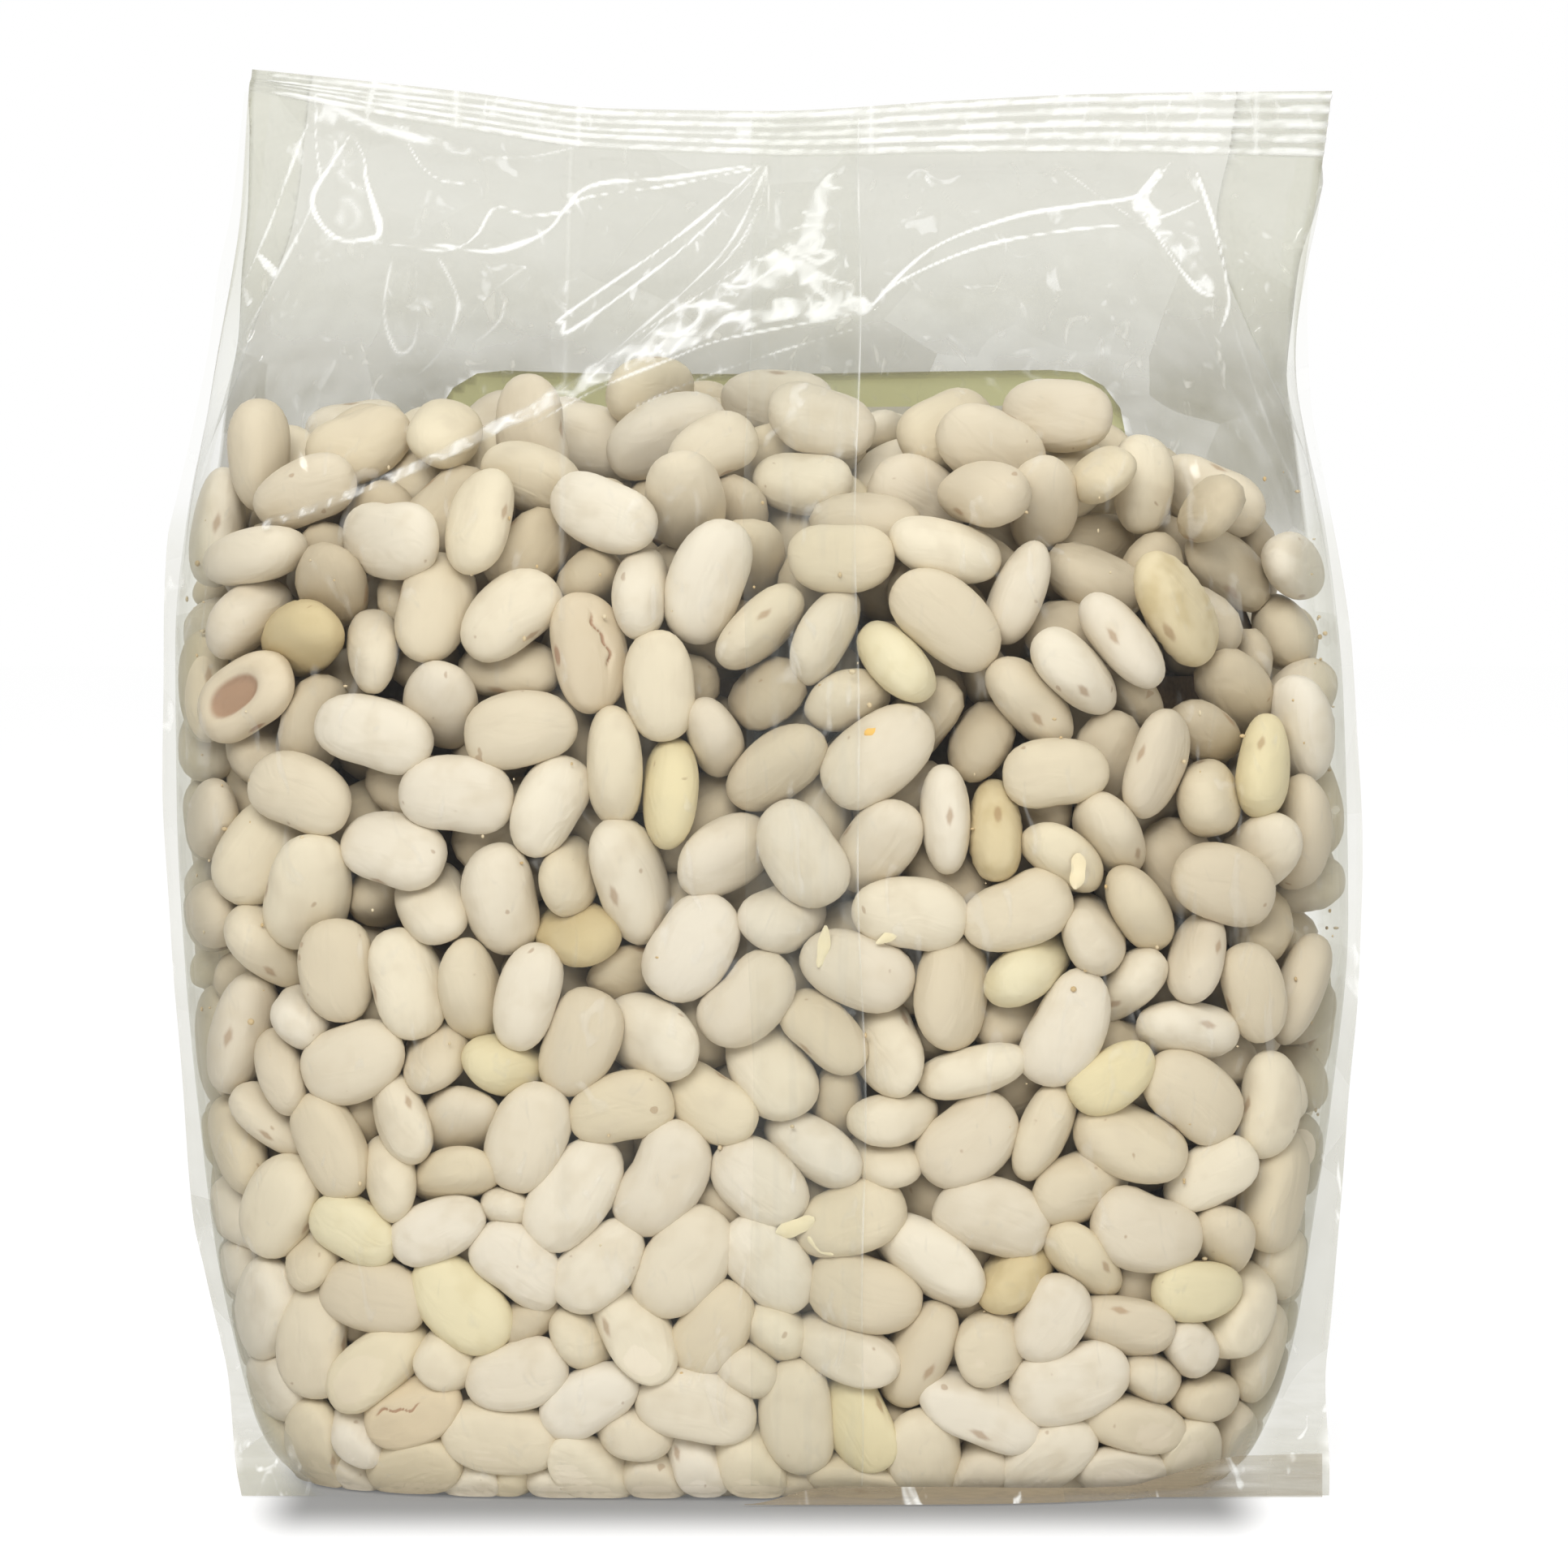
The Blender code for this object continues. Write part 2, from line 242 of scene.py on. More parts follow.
def first_turns(place, rng):
    """Starting rotations of the beans, most of them with a flat side to the nearest film."""
    count = len(place)
    nothing = np.zeros(count)
    outward = np.stack([nothing, np.sign(place[:, 1]), nothing], 1)
    near_side = np.abs(place[:, 0]) > 0.80 * HALF_WIDTH
    outward[near_side] = np.stack([np.sign(place[:, 0]), nothing, nothing], 1)[near_side]
    return rotations(rng.normal(size=(count, 3)), outward + rng.normal(0.0, 0.29, (count, 3)))


def apart(spots, radius, pairs):
    """How overlapping balls have to move, and how many others each one touches."""
    i, j = pairs
    gap = spots[i] - spots[j]
    far = np.linalg.norm(gap, axis=1) + 1e-9
    overlap = (radius[i] + radius[j] - far).clip(0.0)
    push = gap / far[:, None] * (0.5 * overlap)[:, None]
    count = len(spots)
    fix = np.zeros_like(spots)
    for axis in range(3):
        fix[:, axis] += np.bincount(i, push[:, axis], count) - np.bincount(j, push[:, axis], count)
    hits = np.zeros(count)
    hits += np.bincount(i, overlap > 0, count) + np.bincount(j, overlap > 0, count)
    return fix, hits


def pack_beans(rng):
    """Settles the beans in the bag: each is a few balls, pushed out of the others and off the film."""
    balls = bean_balls()
    count = BEAN_COUNT
    size = rng.normal(1.0, 0.07, count).clip(0.82, 1.14)
    place = scatter_in_bag(rng, count)
    turn = first_turns(place, rng)
    steps = SETTLE_STEPS
    pairs = None
    for step in range(steps):
        grown = min(1.0, 0.60 + 0.40 * step / (0.5 * steps))
        place[:, 2] -= PULL if step < 0.75 * steps else LAST_PULL
        arms = np.einsum("bij,kj->bki", turn, balls) * (size * grown)[:, None, None]
        spots = place[:, None, :] + arms
        radius = BEAN_THICK / 2.0 * size * grown
        if step % 8 == 0:
            pairs = near_pairs(place, spots, radius)
        flat = spots.reshape(-1, 3)
        radii = np.repeat(radius, len(balls))
        fix, hits = apart(flat, radii, pairs)
        wall, touched = off_the_film(flat, radii)
        fix = (fix + wall).reshape(count, -1, 3)
        hits = (hits + touched).reshape(count, -1)
        place += SWING * fix.sum(1) / np.maximum(hits.sum(1), 1.0)[:, None]
        torque = np.cross(arms, fix).sum(1)
        inertia = ((arms**2).sum(2) * hits).sum(1)[:, None] + 1e-7
        turn = small_turn((SWING * torque / inertia).clip(-0.25, 0.25), turn)
    return place, turn, size


def scatter_in_bag(rng, count):
    """Evenly scattered starting places inside the bag."""
    wanted = []
    while len(wanted) < count:
        tries = rng.uniform((-HALF_WIDTH, -0.037, 0.004), (HALF_WIDTH, 0.037, HEAP_TOP), (4000, 3))
        heap = HEAP_TOP - HEAP_FALL * (np.abs(tries[:, 0]) / HALF_WIDTH) ** 3
        inside = (wall_gap(tries)[0] > WALL_APART) & (tries[:, 2] < heap)
        wanted.extend(tries[inside])
    chosen = np.array(wanted[:count])
    for _ in range(12):
        between = chosen[:, None, :] - chosen[None, :, :]
        far = np.linalg.norm(between, axis=2) + np.eye(count)
        close = (BEAN_APART - far).clip(0.0)
        chosen += 0.25 * (between / far[:, :, None] * close[:, :, None]).sum(1)
        gap, normal = wall_gap(chosen)
        chosen -= normal * (WALL_APART - gap).clip(0.0)[:, None]
    return chosen


def wall_gap(points):
    """Distance from each point out to the film, and the film's outward direction there."""
    x, y, z = points.T
    z = z.clip(0.5 * MM, 0.93 * HEIGHT)
    a = np.where(x > 0, reach(True, z), reach(False, z))
    b = half_depth(z) + 1e-5
    p = power(z)
    u, v = np.abs(x) / a, np.abs(y) / b
    g = (u**p + v**p + 1e-12) ** (1.0 / p)
    nx = g ** (1.0 - p) * u ** (p - 1.0) / a * np.sign(x)
    ny = g ** (1.0 - p) * v ** (p - 1.0) / b * np.sign(y)
    steep = np.hypot(nx, ny) + 1e-9
    normal = np.stack([nx / steep, ny / steep, np.zeros(len(x))], 1)
    return (1.0 - g) / steep, normal


def kept_inside(points):
    """Points moved gently off the film and off the floor, so that no bean pokes through."""
    gap, normal = wall_gap(points)
    eased = PRESS * np.exp(np.minimum(gap / PRESS - 1.0, 0.0))
    points = points - normal * np.where(gap < PRESS, eased - gap, 0.0)[:, None]
    low = points[:, 2]
    points[:, 2] = np.where(low < PRESS, PRESS * np.exp(np.minimum(low / PRESS - 1.0, 0.0)), low)
    return points


def off_the_film(points, radius):
    """How balls too near the film or the floor have to move, and which of them are."""
    gap, normal = wall_gap(points)
    short = (radius + FILM_GAP - gap).clip(0.0, 4.0 * MM)
    lift = (radius + FILM_GAP - points[:, 2]).clip(0.0)
    moved = -normal * short[:, None]
    moved[:, 2] += lift
    return moved, (short > 0).astype(float) + (lift > 0)


def near_pairs(place, spots, radius):
    """Pairs of balls of different beans that are close enough to touch soon."""
    reach_out = (place**2).sum(1)
    far = reach_out[:, None] + reach_out[None, :] - 2.0 * place @ place.T
    a, b = np.nonzero(np.triu(far < (BEAN_LENGTH * 1.2) ** 2, 1))
    balls = spots.shape[1]
    gaps = np.linalg.norm(spots[a][:, :, None, :] - spots[b][:, None, :, :], axis=3)
    touch = (radius[a] + radius[b] + 2.2 * MM)[:, None, None]
    pair, k, m = np.nonzero(gaps < touch)
    return a[pair] * balls + k, b[pair] * balls + m


# ---------------------------------------------------------------- meshes of the beans
def ball_grid(n):
    """Points and faces of a cube of n by n squares a side, blown up to a ball."""
    steps = np.tan(np.linspace(-np.pi / 4.0, np.pi / 4.0, n + 1))
    found, points, faces = {}, [], []

    def corner(p):
        key = tuple(np.round(p, 6))
        if key not in found:
            found[key] = len(points)
            points.append(p / np.linalg.norm(p))
        return found[key]

    for axis in range(3):
        for sign in (-1.0, 1.0):
            for i in range(n):
                for j in range(n):
                    face = []
                    for di, dj in ((0, 0), (1, 0), (1, 1), (0, 1)):
                        p = np.zeros(3)
                        p[axis] = sign
                        p[(axis + 1) % 3], p[(axis + 2) % 3] = steps[i + di], steps[j + dj]
                        face.append(corner(p))
                    faces.append(face if sign > 0 else face[::-1])
    return np.array(points), np.array(faces)


def bean_points(ball, rng, relief):
    """A bean around the origin, long in X, thin in Z, a little hollow on the -Y side where its eye is."""
    x, y, z = ball.T
    fuller = (np.abs(x) ** 2.3 + np.abs(y) ** 2.3 + np.abs(z) ** 2.3) ** (-1.0 / 2.3)
    x, y, z = x * fuller, y * fuller, z * fuller
    taper = 1.0 + rng.uniform(-0.10, 0.10) * x
    flat = rng.uniform(0.90, 1.08)
    wide = rng.uniform(0.92, 1.07)
    deep = 0.22 * rng.beta(1.1, 2.6)
    dent = deep * np.exp(-((x / 0.42) ** 2)) * ease(0.1, 0.9, -y) * (1.0 - 0.35 * z * z)
    bow = rng.uniform(-0.02, 0.11) * (1.0 - x * x) - 0.04
    shaped = np.stack([
        BEAN_LENGTH / 2.0 * x * rng.uniform(0.94, 1.05),
        BEAN_WIDTH / 2.0 * ((y + dent) * taper * wide + bow),
        BEAN_THICK / 2.0 * z * taper * flat * (1.0 + 0.10 * y),
    ], axis=1)
    return shaped + ball * relief[:, None]


def swelling(ball, rng):
    """Gentle unevenness of a bean's surface, in metres."""
    swell = np.zeros(len(ball))
    for wave in range(4):
        way = rng.normal(size=3) * (1.6 + wave)
        swell += np.sin(ball @ way + rng.uniform(0, 6.3)) / (1.5 + wave)
    return 0.10 * MM * swell


def eye_mark(ball):
    """How strongly the eye of a bean marks its skin: a small oval in the middle of its hollow side."""
    x, y, z = ball.T
    return np.exp(-((x / 0.20) ** 2) - (z / 0.20) ** 2) * (y < 0)


def plain_bean(ball, rng):
    """Points of a smooth bean, and how dark its skin is marked at each."""
    return bean_points(ball, rng, swelling(ball, rng)), eye_mark(ball)


def wrinkled_bean(ball, rng):
    """Points and marks of a bean with fine wrinkles across its skin."""
    x, y, z = ball.T
    across = np.sin(34.0 * x + 5.0 * np.sin(3.0 * y + 2.0 * z) + rng.uniform(0.0, 6.3))
    relief = swelling(ball, rng) + WRINKLE * across * (1.0 - x * x)
    return bean_points(ball, rng, relief), eye_mark(ball)


def cracked_bean(ball, rng):
    """Points and marks of a bean with a wavy crack along both flat sides."""
    x, y, z = ball.T
    line = np.exp(-(((y - 0.15 * np.sin(5.0 * x + 1.0) - 0.05 * np.sin(19.0 * x)) / 0.050) ** 2))
    crack = line * (1.0 - ease(0.30, 0.60, np.abs(x + 0.15))) * ease(0.1, 0.3, np.abs(z))
    return bean_points(ball, rng, swelling(ball, rng) - CRACK * crack), np.maximum(eye_mark(ball), crack)


def hollow_bean(ball, rng):
    """Points and marks of a bean with a bare hollow in both flat sides."""
    x, y, z = ball.T
    hole = (1.0 - ease(0.72, 1.0, np.hypot(x / 0.66, y / 0.60))) * ease(0.0, 0.2, np.abs(z))
    return bean_points(ball, rng, swelling(ball, rng) - HOLLOW * hole), np.maximum(eye_mark(ball), hole)


def new_piece(name, points, faces, material):
    """A smooth mesh object, standing with the bag."""
    mesh = bpy.data.meshes.new(name)
    mesh.from_pydata(np.asarray(points).tolist(), [], [list(map(int, face)) for face in faces])
    mesh.update()
    mesh.shade_smooth()
    mesh.materials.append(material)
    piece = bpy.data.objects.new(name, mesh)
    bpy.context.scene.collection.objects.link(piece)
    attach(piece, "root")
    return piece


def set_attribute(piece, name, values, kind="FLOAT"):
    """Values at the points of a piece, for its material to read."""
    made = piece.data.attributes.new(name, kind, "POINT")
    key = {"FLOAT": "value", "FLOAT_VECTOR": "vector", "FLOAT_COLOR": "color"}[kind]
    made.data.foreach_set(key, np.asarray(values, np.float32).ravel())


def skinned_piece(name, points, faces, tone, skin, material):
    """A piece of bean, with its tone (warmth, shade, mark) and the places its skin pattern is read at."""
    piece = new_piece(name, points, faces, material)
    set_attribute(piece, "tone", tone, "FLOAT_COLOR")
    set_attribute(piece, "skin", skin, "FLOAT_VECTOR")


def bean_piece(name, chosen, settled, grid, shape, material, rng):
    """One mesh of many beans, each with its own shape, tone and skin pattern."""
    place, turn, size = settled
    ball, faces = ball_grid(grid)
    points, quads, tones, skins = [], [], [], []
    for n, b in enumerate(chosen):
        local, mark = shape(ball, rng)
        flip = -1.0 if rng.random() < 0.5 else 1.0
        local = local * (flip, flip, 1.0)
        points.append(kept_inside(place[b] + (local * size[b]) @ turn[b].T))
        quads.append(faces + n * len(ball))
        warm, shade = rng.beta(1.2, 4.5), rng.uniform(0.0, 1.0)
        tones.append(np.stack([np.full(len(ball), warm), np.full(len(ball), shade), mark, mark * 0 + 1], 1))
        skins.append(local + rng.uniform(-1.0, 1.0, 3))
    skinned_piece(name, np.concatenate(points), np.concatenate(quads), np.concatenate(tones),
                  np.concatenate(skins), material)


# ---------------------------------------------------------------- node helpers
def linear(r, g, b):
    """sRGB bytes as linear light."""
    values = np.array([r, g, b]) / 255.0
    lit = np.where(values <= 0.04045, values / 12.92, ((values + 0.055) / 1.055) ** 2.4)
    return (*lit.tolist(), 1.0)


def new_material(name):
    """An empty material, with its node tree and its output node."""
    made = bpy.data.materials.new(name)
    made.use_nodes = True
    tree = made.node_tree
    tree.nodes.clear()
    output = tree.nodes.new("ShaderNodeOutputMaterial")
    return made, tree, output


def feed(tree, socket, value):
    """Links a socket to another, or sets it to a plain value."""
    if isinstance(value, bpy.types.NodeSocket):
        tree.links.new(value, socket)
    else:
        socket.default_value = value


def node(tree, kind, **inputs):
    """A shader node with its inputs linked or set, by name with underscores for spaces."""
    made = tree.nodes.new("ShaderNode" + kind)
    for key, value in inputs.items():
        feed(tree, made.inputs[key.replace("_", " ")], value)
    return made


def maths(tree, operation, a, b=0.0, clamp=False):
    """Output of a Math node on two numbers or sockets."""
    made = tree.nodes.new("ShaderNodeMath")
    made.operation = operation
    made.use_clamp = clamp
    for socket, value in zip(made.inputs, (a, b)):
        feed(tree, socket, value)
    return made.outputs[0]


def blend(tree, share, a, b):
    """Colour a to b by share."""
    made = tree.nodes.new("ShaderNodeMix")
    made.data_type = "RGBA"
    for slot, value in ((0, share), (6, a), (7, b)):
        feed(tree, made.inputs[slot], value)
    return made.outputs[2]


def merge(tree, kind, first, second, **inputs):
    """Output of a Mix Shader or Add Shader node on two shaders."""
    made = node(tree, kind, **inputs)
    tree.links.new(first, made.inputs[-2])
    tree.links.new(second, made.inputs[-1])
    return made.outputs[0]


def seen_directly(tree):
    """1 for rays of the camera, and for rays that reach it by a mirror or through glass."""
    path = node(tree, "LightPath")
    seen = maths(tree, "ADD", path.outputs["Is Camera Ray"], path.outputs["Is Glossy Ray"], clamp=True)
    return maths(tree, "ADD", seen, path.outputs["Is Transmission Ray"], clamp=True)


def attribute(tree, name):
    """A node that reads a mesh attribute."""
    made = tree.nodes.new("ShaderNodeAttribute")
    made.attribute_name = name
    return made


def ramp(tree, value, low, high):
    """Output that goes smoothly from 0 at low to 1 at high."""
    made = tree.nodes.new("ShaderNodeMapRange")
    made.interpolation_type = "SMOOTHSTEP"
    tree.links.new(value, made.inputs["Value"])
    made.inputs["From Min"].default_value = low
    made.inputs["From Max"].default_value = high
    return made.outputs[0]


# ---------------------------------------------------------------- materials
def bean_material(name, plain, deep, warm, spot=(150, 112, 74), mottle=0.5, marked=0.55):
    """Dry bean skin: plain colour, deeper in blotches, warmer on some beans, marked at the eye."""
    plain, deep, warm, spot = (linear(*colour) for colour in (plain, deep, warm, spot))
    made, tree, output = new_material(name)
    tone = attribute(tree, "tone")
    parts = node(tree, "SeparateColor", Color=tone.outputs["Color"])
    skin = attribute(tree, "skin").outputs["Vector"]
    blotch = node(tree, "TexNoise", Vector=skin, Scale=230.0, Detail=2.0)
    stretch = node(tree, "Mapping", Vector=skin)
    stretch.inputs["Scale"].default_value = (0.5, 1.2, 1.0)
    fine = node(tree, "TexNoise", Vector=stretch.outputs[0], Scale=300.0, Detail=1.5, Distortion=1.2)
    colour = blend(tree, parts.outputs[1], plain, deep)
    colour = blend(tree, parts.outputs[0], colour, warm)
    mottled = ramp(tree, blotch.outputs["Fac"], 0.45, 0.75)
    colour = blend(tree, maths(tree, "MULTIPLY", mottled, mottle), colour, deep)
    freckle = node(tree, "TexNoise", Vector=skin, Scale=420.0, Detail=1.0)
    freckled = maths(tree, "MULTIPLY", ramp(tree, freckle.outputs["Fac"], 0.76, 0.80), 0.45)
    colour = blend(tree, freckled, colour, spot)
    eyed = ramp(tree, parts.outputs[2], 0.25, 0.75)
    colour = blend(tree, maths(tree, "MULTIPLY", eyed, marked), colour, spot)
    bump = node(tree, "Bump", Strength=0.34, Distance=0.0006, Height=fine.outputs["Fac"])
    shader = node(tree, "BsdfPrincipled", Base_Color=colour, Roughness=0.5, Normal=bump.outputs[0])
    shader.inputs["Specular IOR Level"].default_value = 0.35
    tree.links.new(shader.outputs[0], output.inputs[0])
    return made


def core_material():
    """Dark brown of the unlit middle of the heap."""
    made, tree, output = new_material("bean_shadow")
    grain = node(tree, "TexNoise", Scale=160.0, Detail=3.0)
    colour = blend(tree, grain.outputs["Fac"], linear(84, 66, 46), linear(132, 110, 82))
    shader = node(tree, "BsdfPrincipled", Base_Color=colour, Roughness=0.9)
    tree.links.new(shader.outputs[0], output.inputs[0])
    return made


def film_unevenness(tree, place):
    """Factor on the film's haze: soft clouds, and flat facets with bent edges."""
    cloud = node(tree, "TexNoise", Scale=22.0, Detail=2.0, Roughness=0.5)
    bent = node(tree, "TexNoise", Vector=place, Scale=40.0, Detail=1.0)
    shifted = tree.nodes.new("ShaderNodeVectorMath")
    shifted.operation = "MULTIPLY_ADD"
    for socket, value in zip(shifted.inputs, (bent.outputs["Color"], (0.012, 0.012, 0.012), place)):
        feed(tree, socket, value)
    facets = node(tree, "TexVoronoi", Vector=shifted.outputs[0], Scale=44.0)
    facet = node(tree, "SeparateColor", Color=facets.outputs["Color"]).outputs[0]
    uneven = maths(tree, "ADD", maths(tree, "MULTIPLY", cloud.outputs["Fac"], 0.60), 0.50)
    return maths(tree, "ADD", uneven, maths(tree, "MULTIPLY", facet, 0.36))


def film_scuffs_and_sheen(tree, place):
    """Share of light scattered by small scuffs, drawn out in height: partly painted reflection streaks on
    the film.
    """
    drawn = node(tree, "Mapping", Vector=place)
    drawn.inputs["Scale"].default_value = (1.0, 1.0, 0.45)
    streak_noise = node(tree, "TexNoise", Vector=drawn.outputs[0], Scale=230.0, Detail=2.0, Distortion=1.5)
    return maths(tree, "MULTIPLY", ramp(tree, streak_noise.outputs["Fac"], 0.60, 0.74), 0.11)


def film_material(name, cloudy):
    """Clear film: see-through, cloudier by attribute "haze", whitened where creased and by small streaks,
    partly as painted highlight and reflection, glossy all over.
    """
    made, tree, output = new_material(name)
    haze = attribute(tree, "haze").outputs["Fac"]
    white_and_glint = attribute(tree, "white_and_glint").outputs["Fac"]
    place = node(tree, "TexCoord").outputs["Object"]
    hazy = maths(tree, "MULTIPLY", haze, film_unevenness(tree, place))
    scuff_sheen = film_scuffs_and_sheen(tree, place)
    solid = maths(tree, "ADD", maths(tree, "ADD", hazy, white_and_glint, clamp=True), scuff_sheen, clamp=True)
    empty = ramp(tree, haze, 0.03, 0.11)
    colour = blend(tree, empty, linear(190, 194, 190), cloudy)
    # Whitening where creased: partly the film's own white, partly painted highlight and reflection.
    bright = maths(tree, "ADD", white_and_glint, maths(tree, "MULTIPLY", scuff_sheen, 2.0))
    colour = blend(tree, ramp(tree, bright, 0.0, 0.30), colour, linear(250, 250, 246))
    tint = blend(tree, empty, (0.985, 0.985, 0.97, 1.0), (0.96, 0.96, 0.93, 1.0))
    clear = node(tree, "BsdfTransparent", Color=tint)
    body = node(tree, "BsdfPrincipled", Base_Color=colour, Roughness=0.30)
    body.inputs["Specular IOR Level"].default_value = 0.2
    see = merge(tree, "MixShader", clear.outputs[0], body.outputs[0], Fac=solid)
    gloss = node(tree, "BsdfGlossy", Roughness=0.06)
    facing = node(tree, "LayerWeight", Blend=0.5)
    edge = maths(tree, "POWER", facing.outputs["Facing"], 4.0)
    mirrored = maths(tree, "ADD", maths(tree, "MULTIPLY", edge, 0.40), 0.012)
    shine = merge(tree, "MixShader", see, gloss.outputs[0], Fac=mirrored)
    tree.links.new(shine, output.inputs[0])
    return made


def label_material(name, colour, other):
    """Printed paper in a colour that drifts slightly to another."""
    made, tree, output = new_material(name)
    print_grain = node(tree, "TexNoise", Scale=90.0, Detail=2.0)
    tint = blend(tree, print_grain.outputs["Fac"], colour, other)
    shader = node(tree, "BsdfPrincipled", Base_Color=tint, Roughness=0.42)
    tree.links.new(shader.outputs[0], output.inputs[0])
    return made


# ---------------------------------------------------------------- creases of the film
# Crease lines on the back panel's empty top: points (x, z) in millimetres from the middle of the
# bag and up from the seal's foot, then height, width and whiteness of the ridge, partly painted highlight.
CREASES = (
    (((0.4, -1.0), (-12, -3.4), (-22.5, -5.0), (-27.5, -10.6), (-32, -13.2), (-36, -14.2),
      (-42, -13.8), (-48, -13.6)), 0.45, 0.40, 0.70),
    (((0.4, -1.4), (-12, -4.4), (-23, -6.4), (-26, -9.0)), 0.30, 0.24, 0.50),
    (((0.4, -1.0), (-8, -8.6), (-24.6, -21.6), (-25.2, -23.2), (-23.8, -23.8), (-9, -11.4),
      (0.8, -1.2)), 0.40, 0.32, 0.65),
    (((0.8, -1.2), (-5, -13.0), (-18.5, -26.6), (-30, -36.0)), 0.35, 0.36, 0.40),
    (((1.2, -1.6), (-3, -12.0), (-14.5, -24.6), (-24, -33.0)), 0.25, 0.24, 0.30),
    (((1.0, -1.6), (-1, -9.0), (-6, -18.6)), 0.25, 0.24, 0.30),
    (((-24, -8.0), (-30, -9.2), (-34.5, -8.8), (-37, -12.4), (-40.6, -14.4),
      (-48, -14.2)), 0.35, 0.36, 0.65),
    (((-53.6, -2.8), (-56.2, -6.6), (-58.2, -9.6), (-57.4, -12.0), (-54.6, -14.0), (-51, -13.8),
      (-49.4, -12.6), (-51.4, -7.4), (-51.8, -5.2), (-53.6, -2.8)), 0.45, 0.44, 0.80),
    (((-58.6, 3.0), (-58.2, -4.0), (-57.0, -9.0)), 0.35, 0.36, 0.50),
    (((-47.6, 0.0), (-44.6, -4.8), (-40.8, -6.6), (-36.8, -6.0)), 0.35, 0.32, 0.50),
    (((-57.8, 0.4), (-50, -1.4), (-42, -2.2)), 0.25, 0.72, 0.40),
    (((13.2, -21.6), (-4, -25.0), (-12, -28.2), (-21, -32.2), (-30, -37.6)), 0.35, 0.32, 0.60),
    (((13.2, -23.6), (2, -27.0), (-10, -31.6), (-18, -35.6)), 0.25, 0.24, 0.35),
    (((-59.0, -1.8), (-63.0, -11.0), (-67.4, -21.0)), 0.30, 0.32, 0.42),
    (((0.6, -1.2), (1.0, -6.0), (0.6, -12.6)), 0.25, 0.24, 0.40),
    (((0.6, -12.6), (-9, -19.8), (-17, -25.6)), 0.25, 0.28, 0.45),
    (((14, -21.0), (22, -13.4), (33, -9.2), (42, -7.6), (49.6, -6.0), (53.8, -1.0)), 0.45, 0.40, 0.75),
    (((14, -21.2), (18, -17.6), (28, -13.4), (39, -11.4), (49.6, -10.4)), 0.40, 0.32, 0.65),
    (((49.6, -10.4), (54, -8.6), (58.6, -6.0)), 0.30, 0.32, 0.45),
    (((38, -1.0), (44, -6.0), (49.6, -10.4)), 0.25, 0.32, 0.30),
    (((49.6, -6.0), (50.6, -10.4), (56, -19.0), (60.2, -20.6)), 0.50, 0.44, 0.75),
    (((57.0, -2.0), (59.2, -11.6), (60.4, -20.6), (58.8, -25.4)), 0.45, 0.36, 0.70),
    (((-47.6, -15.0), (-48.4, -23.0), (-46.4, -28.0), (-44.2, -25.6), (-44.6, -16.0)),
     0.30, 0.44, 0.30),
    (((-42, -15.0), (-39.0, -21.0), (-40.6, -27.0), (-44.0, -31.0)), 0.30, 0.44, 0.28),
    (((-36, -15.0), (-33.0, -22.0), (-38.0, -27.6)), 0.30, 0.40, 0.22),
    (((-30, -15.4), (-36.0, -21.0), (-40.4, -28.0)), 0.25, 0.32, 0.16),
    (((60, -20.6), (64, -34.0), (70, -48.0)), 0.30, 0.48, 0.20),
    (((51, -12.0), (60, -32.0), (68, -46.0)), 0.25, 0.48, 0.12),
    (((-58, -10.0), (-62, -18.0), (-66.6, -27.0)), 0.35, 0.44, 0.34),
    (((-20, 2.0), (-30, -2.0), (-38, -3.0)), 0.20, 0.40, 0.25),
    (((20, -2.0), (26, -8.0), (30, -14.0)), 0.20, 0.28, 0.14),
    (((-12, -6.0), (-20, -16.0), (-26, -30.0)), 0.20, 0.28, 0.12),
)
# Bands of crumpled film with painted glare: line as above, width at its start and at its end, whiteness.
GLARES = (
    (((9.4, -3.4), (6.6, -8.0), (5.6, -12.0)), 1.2, 2.6, 0.50),
    (((5.4, -12.0), (8.0, -16.0), (8.4, -19.4)), 2.4, 3.6, 0.60),
    (((2.0, -14.8), (-8, -21.8), (-18, -28.6), (-27, -33.8), (-37, -39.2)), 2.3, 0.6, 0.68),
    (((12.4, -20.8), (4.0, -21.0), (-6, -23.8), (-14, -27.6)), 1.7, 1.1, 0.66),
    (((-27, -33.8), (-37, -39.2), (-46, -43.4), (-55, -47.0), (-63, -49.8)), 0.8, 0.45, 0.55),
    (((0.6, -3.0), (-8, -12.0), (-17, -23.0)), 0.5, 3.4, 0.10),
    (((52.4, -2.6), (49.8, -6.6), (51.0, -9.6)), 0.6, 1.7, 0.52),
    (((51.2, -10.8), (54.4, -14.4), (57.4, -19.0)), 0.7, 1.2, 0.42),
    (((55.6, -10.8), (56.4, -15.4)), 1.2, 0.8, 0.30),
    (((-58.0, -0.6), (-48.0, -1.4), (-37.0, -3.0)), 1.4, 0.8, 0.30),
    (((-54.0, -5.0), (-53.0, -12.0)), 2.4, 1.6, 0.20),
    (((-65.2, -16.6), (-63.0, -18.6)), 0.35, 0.65, 0.75),
    (((-67.4, -19.6), (-66.4, -22.2)), 0.30, 0.50, 0.75),
    (((-56, -13.6), (-60, -22.0), (-66, -30.0)), 1.0, 2.2, 0.12),
    (((-46.2, -17.0), (-46.4, -26.0)), 1.6, 1.0, 0.10),
    (((-41.0, -17.0), (-43.6, -28.0)), 2.0, 0.8, 0.12),
    (((16.0, -23.0), (34, -19.0), (46, -13.0)), 1.8, 2.4, 0.09),
    (((62.0, -8.0), (66.0, -30.0)), 2.2, 3.0, 0.06),
)


